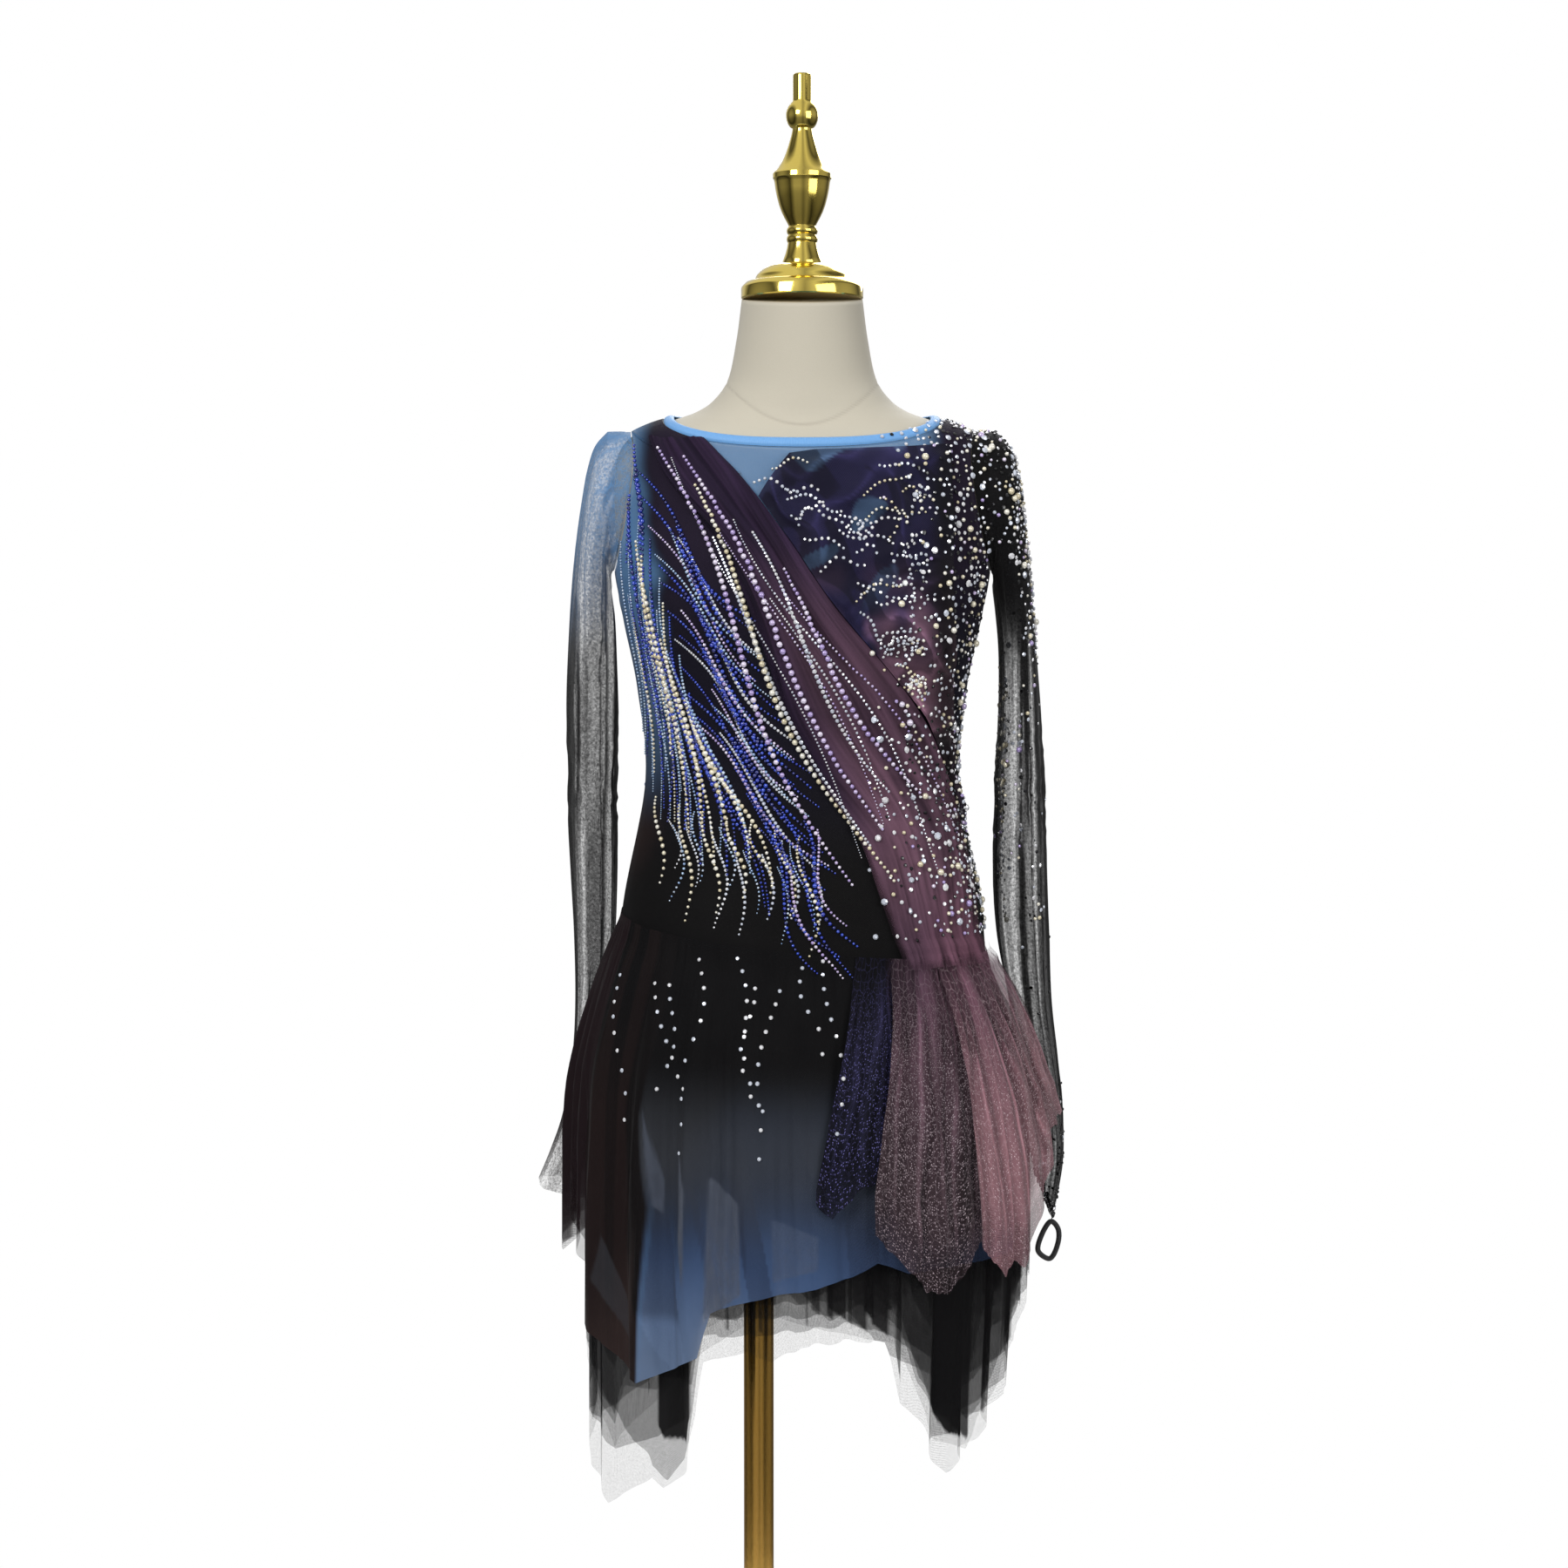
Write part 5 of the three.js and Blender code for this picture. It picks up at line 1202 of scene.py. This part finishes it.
def turnPiece(name, piece):
    rows = piece["profile"]
    centre = (piece["x"] / 1000, 0)
    bpy.ops.object.select_all(action="DESELECT")
    bpy.ops.mesh.primitive_circle_add(vertices=96, radius=rows[0][0] / 1000, fill_type="NGON",
                                      location=(*centre, (piece["base"] + rows[0][1]) / 1000))
    turned = bpy.context.object
    turned.name = turned.data.name = name
    editAll()
    for (radius, height), (nextRadius, nextHeight) in zip(rows, rows[1:]):
        rise, grow = (nextHeight - height) / 1000, nextRadius / radius
        middle = (*centre, (piece["base"] + nextHeight) / 1000)
        bpy.ops.mesh.extrude_region_move(TRANSFORM_OT_translate={"value": (0, 0, rise)})
        bpy.ops.transform.resize(value=(grow, grow, 1), center_override=middle)
    bpy.ops.mesh.select_all(action="SELECT")
    bpy.ops.mesh.normals_make_consistent(inside=False)
    if piece["lean"]:
        bpy.ops.transform.rotate(value=math.radians(neckLean), orient_axis="X",
                                 center_override=(*centre, neckTop / 1000))
    bpy.ops.object.mode_set(mode="OBJECT")
    bpy.ops.object.transform_apply(location=True, rotation=True, scale=True)
    bpy.ops.object.shade_smooth_by_angle(angle=math.radians(32))
    turned.data.materials.append(piece["finish"])
    standFor(turned, piece["replaces"])


for turnedName, piece in turnings.items():
    turnPiece(turnedName, piece)
print("stand turned")

# beads and stones, sewn in flowing rows
def shapeOf(thing):
    editAll()
    bpy.ops.mesh.quads_convert_to_tris()
    bpy.ops.object.mode_set(mode="OBJECT")
    points = np.array([v.co[:] for v in thing.data.vertices])
    faces = np.array([list(f.vertices) for f in thing.data.polygons])
    bpy.data.objects.remove(thing)
    return points, faces


def makeBead(segments, rings):
    # a round bead, a little flatter than a ball
    bpy.ops.object.select_all(action="DESELECT")
    bpy.ops.mesh.primitive_uv_sphere_add(segments=segments, ring_count=rings, radius=1, location=(0, 0, 0))
    bead = bpy.context.object
    editAll()
    bpy.ops.transform.resize(value=(1, 1, 0.88), center_override=(0, 0, 0))
    bpy.ops.object.mode_set(mode="OBJECT")
    return shapeOf(bead)


def makeStone():
    # a flat-backed cut stone: table, slanted crown and a short base
    bpy.ops.object.select_all(action="DESELECT")
    bpy.ops.mesh.primitive_circle_add(vertices=8, radius=0.8, fill_type="NGON", location=(0, 0, -0.4))
    stone = bpy.context.object
    editAll()
    for rise, grow in ((0.3, 1.25), (0.45, 0.55)):
        bpy.ops.mesh.extrude_region_move(TRANSFORM_OT_translate={"value": (0, 0, rise)})
        bpy.ops.transform.resize(value=(grow, grow, 1), center_override=(0, 0, 0))
    bpy.ops.mesh.select_all(action="SELECT")
    bpy.ops.mesh.normals_make_consistent(inside=False)
    bpy.ops.object.mode_set(mode="OBJECT")
    bpy.ops.object.transform_apply(location=True, rotation=True, scale=True)
    return shapeOf(stone)


beadKinds = {
    "seed": {"shape": makeBead(5, 4), "smooth": True, "slot": "dyed_stretch_mesh"},
    "pearl": {"shape": makeBead(8, 5), "smooth": True, "slot": "plum_chiffon"},
    "stone": {"shape": makeStone(), "smooth": False, "slot": "black_mesh"},
}
sewn = {kind: [] for kind in beadKinds}  # (centre, normal, radius, tint)
tints = {
    "sapphire": [colour(30, 52, 170), colour(44, 76, 196), colour(18, 30, 112)],
    "ice": [colour(172, 198, 228), colour(138, 168, 210), colour(206, 220, 238)],
    "champagne": [colour(238, 230, 204), colour(220, 208, 174), colour(244, 240, 226)],
    "clear": [colour(252, 252, 255), colour(226, 232, 244)],
    "violet": [colour(206, 188, 228), colour(178, 158, 212), colour(232, 222, 242)],
    "jet": [colour(12, 12, 15), colour(26, 25, 30)],
}


def tintOf(name):
    choice = tints[name]
    return choice[rng.integers(len(choice))]


def growTree(names):
    points, faces, offset = [], [], 0
    for name in names:
        grid = clothGrids["cloth_" + name][0]
        tall, wide = grid.shape[:2]
        points.append(grid.reshape(-1, 3))
        faces.append(gridFaces(wide, tall)[0] + offset)
        offset += tall * wide
    return BVHTree.FromPolygons(np.concatenate(points).tolist(), np.concatenate(faces).tolist())


def land(tree, start, heading, reach):
    hit, normal, _, _ = tree.ray_cast(Vector(start), Vector(heading), reach)
    if hit is None:
        return None
    normal = np.array(normal)
    return np.array(hit), normal * (-1 if normal @ np.array(heading) > 0 else 1)


fromFront = growTree([
    "bodice_front", "sash", "yoke", "skirt_front", "skirt_side", "tulle_navy", "tulle_plum"])
allRound = growTree(["bodice_front", "bodice_back", "sash", "yoke", "sleeve_left", "neck_binding"])


def sewFront(kind, x, z, radius, tint):
    found = land(fromFront, (x, -260, z), (0, 1, 0), 300)
    if found:
        sewn[kind].append((*found, radius, tint))


def sCurve(start, end, bend, phase, count=80):
    # an S-shaped line that leaves its straight way by up to a bend on both sides
    t = np.linspace(0, 1, count)[:, None]
    start, end = np.array(start, float), np.array(end, float)
    side = np.array([end[1] - start[1], start[0] - end[0]]) / np.linalg.norm(end - start)
    return start + (end - start) * t + side * bend * np.sin(math.pi * t) * 1.4 * np.cos(math.pi * t + phase)


def beadRow(path, name, size, gap=1.08, taper=0.45, thin=1.0):
    # beads end to end along a path of (x, z), smaller towards its ends and wider apart at the last
    length = np.concatenate([[0], np.cumsum(np.linalg.norm(np.diff(path, axis=0), axis=1))])
    at = 0.0
    while at < length[-1]:
        t = at / length[-1]
        radius = size * (1 - taper + taper * math.sin(math.pi * min(t * 0.94 + 0.05, 1))) / 2
        kind = "stone" if name in ("clear", "jet") else "pearl" if radius > 1.9 else "seed"
        x, z = np.interp(at, length, path[:, 0]), np.interp(at, length, path[:, 1])
        sewFront(kind, x, z, radius, tintOf(name))
        at += 2 * radius * gap * (1 + (thin - 1) * t ** 2)


rowFamilies = {
    # rows that run from one line to another, given by both lines' ends in x and z
    "side fall": {
        "rows": 18, "from": ((-152, 1168), (-118, 1080)), "to": ((-140, 930), (-88, 866)),
        "bend": 6, "phase": 0.4, "size": 2.8,
        "names": ["ice", "sapphire", "ice", "ice", "champagne"]},
    "shoulder fall": {
        "rows": 20, "from": ((-144, 1214), (-92, 1010)), "to": ((-122, 900), (-22, 836)),
        "bend": 12, "phase": 0.2, "size": 3.8,
        "names": ["sapphire", "champagne", "sapphire", "ice", "champagne", "sapphire"]},
    "inner sweep": {
        "rows": 30, "from": ((-140, 1208), (-86, 980)), "to": ((-30, 1066), (44, 838)),
        "bend": -11, "phase": 0.5, "size": 3.7,
        "names": ["sapphire", "sapphire", "ice", "sapphire", "clear", "sapphire", "violet"]},
    "sash rows": {
        "rows": 6, "from": ((-122, 1226), (-84, 1214)), "to": ((58, 838), (128, 900)),
        "bend": -15, "phase": 0.5, "size": 5.2,
        "names": ["violet", "clear", "champagne", "violet", "clear"]},
    "sash dots": {
        "rows": 5, "from": ((-110, 1218), (-40, 1150)), "to": ((70, 826), (134, 884)),
        "bend": 14, "phase": 0.9, "size": 2.7, "gap": 1.5,
        "names": ["clear", "violet", "clear"]},
    "hip tips": {
        "rows": 20, "from": ((-124, 930), (4, 900)), "to": ((-124, 846), (14, 806)),
        "bend": 8, "phase": 0.9, "size": 3.2, "thin": 2.2,
        "names": ["champagne", "clear", "ice"]},
    "hip curl": {
        "rows": 6, "from": ((-36, 908), (-6, 934)), "to": ((34, 770), (52, 806)),
        "bend": -13, "phase": 0.7, "size": 3.8,
        "names": ["sapphire", "sapphire", "violet"]},
    "armhole": {
        "rows": 3, "from": ((-142, 1228), (-150, 1222)), "to": ((-134, 1120), (-144, 1118)),
        "bend": 3, "phase": 1.2, "size": 4.2,
        "names": ["sapphire"]},
}
relativeSize = {"clear": 0.85, "champagne": 1.25, "ice": 0.85}


def sewFamilies():
    for family in rowFamilies.values():
        count = family["rows"]
        for k in range(count):
            a = k / (count - 1)
            start = lerp(np.array(family["from"][0], float), np.array(family["from"][1], float), a)
            end = lerp(np.array(family["to"][0], float), np.array(family["to"][1], float), a)
            end = end + [5 * math.sin(k * 2.3), 16 * math.sin(k * 1.7)]
            bend = family["bend"] * (0.7 + 0.6 * rng.random())
            path = sCurve(start, end, bend, family["phase"] + 0.3 * math.sin(k))
            first = int(len(path) * 0.34 * rng.random() * (k % 3 > 0))
            last = int(len(path) * (0.82 + 0.18 * rng.random()))
            name = family["names"][k % len(family["names"])]
            size = family["size"] * relativeSize.get(name, 1) * (0.85 + 0.3 * rng.random())
            beadRow(path[first:last], name, size, family.get("gap", 1.08), thin=family.get("thin", 1.3))


def sewYoke():
    # short dotted waves across the gathered yoke
    for k in range(52):
        z = 1212 - 190 * rng.random() ** 1.2
        right = np.interp(z, sashEdges["z"], sashEdges["left"]) + 5
        x = lerp(right, 96, rng.random())
        end = (min(x + 16 + 30 * rng.random(), 104), z + 14 * rng.normal())
        path = sCurve((x, z), end, 3 + 5 * rng.random(), 3 * rng.random(), 40)
        beadRow(path, "champagne" if k % 4 == 1 else "clear", 3.1, gap=1.35 + 0.8 * rng.random(), taper=0.25)


def sewSkirt():
    # loose dotted lines of single stones
    for k in range(9):
        x = -150 + 21 * k + 6 * rng.normal()
        start = (x, 800 - 30 * rng.random())
        end = (x + 22 * math.sin(k * 1.9), start[1] - 70 - 100 * rng.random())
        beadRow(sCurve(start, end, 8, 0.9 * k), "clear", 3.8, gap=3.2, taper=0.1, thin=2.8)


def sewLoose():
    # loose stones, thickest at the left shoulder and down the left side
    placed = np.zeros((0, 3))
    tries = {"count": 9000, "apart": 4.2}
    for _ in range(tries["count"]):
        angle, z = 14 + 104 * rng.random(), 812 + 434 * rng.random()
        band = smooth(angle, 16, 58) * (1 - smooth(angle, 92, 116))
        thick = band * (0.4 + 0.6 * smooth(z, 1080, 1210) + 0.35 * swell((z - 930) / 130))
        thick = thick * (0.7 + 0.5 * smooth(angle, 50, 66))
        if rng.random() > thick:
            continue
        origin = formPoint(angle, stepAt(z), 60.0)
        found = land(allRound, origin, formPoint(angle, stepAt(z), 0.0) - origin, 75)
        if not found or (len(placed) and np.linalg.norm(placed - found[0], axis=1).min() < tries["apart"]):
            continue
        placed = np.vstack([placed, found[0]])
        pick, large = rng.random(), rng.random() < 0.14
        name = "clear" if pick < 0.56 else "jet" if pick < 0.74 else "champagne" if pick < 0.93 else "violet"
        radius = 2.4 + 0.9 * rng.random() if large and name != "jet" else 1.2 + 0.8 * rng.random()
        sewn["stone" if name in ("clear", "jet") else "pearl"].append((*found, radius, tintOf(name)))
    print("loose stones:", len(placed))


def sewBack():
    # the rows come round the right side and over the shoulders, and thin out on the back
    for k in range(240):
        right = k < 130
        angle = 180 + (1 if right else -1) * (34 + 50 * rng.random() ** 0.7)
        z = 1222 - (300 if right else 190) * rng.random() ** 1.3
        origin = formPoint(angle, stepAt(z), 40.0)
        found = land(allRound, origin, formPoint(angle, stepAt(z), 0.0) - origin, 50)
        if found:
            name = ["sapphire", "ice", "clear"][k % 3] if right else ["clear", "jet", "champagne"][k % 3]
            kind = "stone" if name in ("clear", "jet") else "seed"
            sewn[kind].append((*found, 1.1 + 0.9 * rng.random() ** 2, tintOf(name)))


def sewSleeve():
    points, normals = clothGrids["cloth_sleeve_left"]
    tall, wide = points.shape[:2]
    for k in range(330):
        cuff = k < 210
        if cuff:
            row = int(tall * (1 - 0.16 * rng.random() ** 1.6) - 1)
        else:
            row = int(tall * (0.16 + 0.66 * rng.random()))
        column = rng.integers(wide - 1)
        if cuff or normals[row, column][0] > -0.2:
            tint = tintOf("jet" if rng.random() < (0.7 if cuff else 0.45) else "clear")
            sewn["stone"].append((points[row, column], normals[row, column], 1.1 + 0.6 * rng.random(), tint))
    for column in range(0, wide - 1, 3):  # along the cuff's edge
        sewn["stone"].append((points[-2, column], normals[-2, column], 1.7, tintOf("jet")))


sewFamilies()
sewYoke()
sewSkirt()
sewLoose()
sewBack()
sewSleeve()


def glassy(name, metallic, roughness, coat):
    shader = Shader(name, Metallic=metallic, Coat_Weight=coat, Coat_Roughness=0.05, IOR=1.7)
    dye = shader.attribute("dye", "Color")
    fine = shader.noise(420, 2)
    shade = shader.mix(fine * 0.3, dye, shader.times(dye, (0.6, 0.6, 0.66)))
    return shader.feed(Base_Color=shade, Roughness=fine * 0.12 + roughness)


def joinSewn(kind, material):
    # every bead of one kind as a single mesh, its axis along the cloth's normal
    (points, faces), beads = beadKinds[kind]["shape"], sewn[kind]
    centres, normals, radii, shades = (np.array([bead[k] for bead in beads]) for k in range(4))
    radii = radii[:, None]
    first = np.cross(normals, rng.normal(size=normals.shape))
    first /= np.linalg.norm(first, axis=1, keepdims=True)
    second = np.cross(normals, first)
    seat = centres + normals * radii * 0.5
    sized = points[None] * radii[:, :, None]
    axes = (first, second, normals)
    placed = seat[:, None] + sum(sized[..., k:k + 1] * axis[:, None] for k, axis in enumerate(axes))
    every = (faces[None] + (np.arange(len(beads)) * len(points))[:, None, None]).reshape(-1, 3)
    piece = addMesh("sewn_" + kind, placed, every.tolist(), material, beadKinds[kind]["smooth"])
    addDye(piece.data, np.repeat(shades, len(points), 0))
    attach(piece, "root")
    print("sewn", kind, len(beads), "pieces,", len(every), "faces")


joinSewn("seed", glassy("seedBead", 0.2, 0.14, 0.8))
joinSewn("pearl", glassy("lustreBead", 0.1, 0.12, 0.8))
joinSewn("stone", glassy("cutStone", 0.35, 0.06, 0.6))

# stage, light and camera
floorDisc = {"radius": 0.85, "height": -0.0005}
bpy.ops.object.select_all(action="DESELECT")
bpy.ops.mesh.primitive_circle_add(vertices=96, radius=floorDisc["radius"], fill_type="NGON",
                                  location=(0, 0, floorDisc["height"]))
floor = bpy.context.object
floor.name = "floor"
floorShader = Shader("paleFloor")
floorNoise = floorShader.noise(14, 3)
floorShade = floorShader.mix(floorNoise, (0.86, 0.86, 0.86, 1), (0.8, 0.8, 0.8, 1))
floor.data.materials.append(floorShader.feed(Base_Color=floorShade, Roughness=floorNoise * 0.1 + 0.6))


class Room(Shader):
    def __init__(self, name):
        world = bpy.data.worlds.new(name)
        bpy.context.scene.world = world
        world.use_nodes = True
        self.tree = world.node_tree


bands = {  # how bright the room is by height and from side to side
    "height": ((0.0, 0.2), (0.4, 0.35), (0.52, 0.8), (0.8, 1.0)),
    "side": ((0.0, 0.5), (0.1, 0.1), (0.22, 1.0), (0.42, 1.0), (0.54, 0.5), (0.68, 1.0), (0.86, 0.1),
             (1.0, 0.7)),
}
room = Room("studio")
sideWay, _, upWay = room.split(room.place("Generated"))


def roomBand(way, stops):
    ramp = [(place, (shade, shade, shade)) for place, shade in stops]
    share = way.math("MULTIPLY_ADD", 0.5, 0.5)
    return room.wire("ShaderNodeValToRGB", 0, {"ramp": ramp}, {0: share})


glow = room.mix(1.0, roomBand(upWay, bands["height"]), roomBand(sideWay, bands["side"]), "MULTIPLY")
lit = room.wire("ShaderNodeBackground", 0, {}, {"Color": glow, "Strength": 0.7})
seen = room.wire("ShaderNodeBackground", 0, {}, {"Color": (1, 1, 1, 1), "Strength": 1.0})
toCamera = room.wire("ShaderNodeLightPath", "Is Camera Ray")
shown = room.wire("ShaderNodeMixShader", 0, {}, {0: toCamera, 1: lit, 2: seen})
room.tree.links.new(shown.socket, room.tree.nodes["World Output"].inputs[0])

lamps = {
    "key": {"place": (-1.7, -2.6, 2.7), "size": 1.4, "power": 80},
    "fill": {"place": (2.4, -2.2, 1.8), "size": 2.2, "power": 45},
    "rim": {"place": (0.6, 2.4, 2.4), "size": 1.8, "power": 45},
}
lampAim = Vector((0.03, 0, 0.95))
for lampName, lamp in lamps.items():
    data = bpy.data.lights.new(lampName, "AREA")
    data.size, data.energy = lamp["size"], lamp["power"]
    light = bpy.data.objects.new(lampName, data)
    bpy.context.collection.objects.link(light)
    light.location = lamp["place"]
    light.rotation_euler = (lampAim - light.location).to_track_quat("-Z", "Y").to_euler()

view = {"aim": (0.022, 0, 0.9375), "distance": 3.6, "elevation": 5, "lens": 96, "sensor": 36}
camera = bpy.data.objects.new("camera", bpy.data.cameras.new("camera"))
bpy.context.collection.objects.link(camera)
camera.data.lens = view["lens"]
camera.data.sensor_width = view["sensor"]
aim = Vector(view["aim"])
tilt = math.radians(view["elevation"])
camera.location = aim + Vector((0, -math.cos(tilt), math.sin(tilt))) * view["distance"]
camera.rotation_euler = (aim - camera.location).to_track_quat("-Z", "Y").to_euler()
bpy.context.scene.camera = camera
bpy.context.scene.view_settings.view_transform = "Standard"
print("stage set")
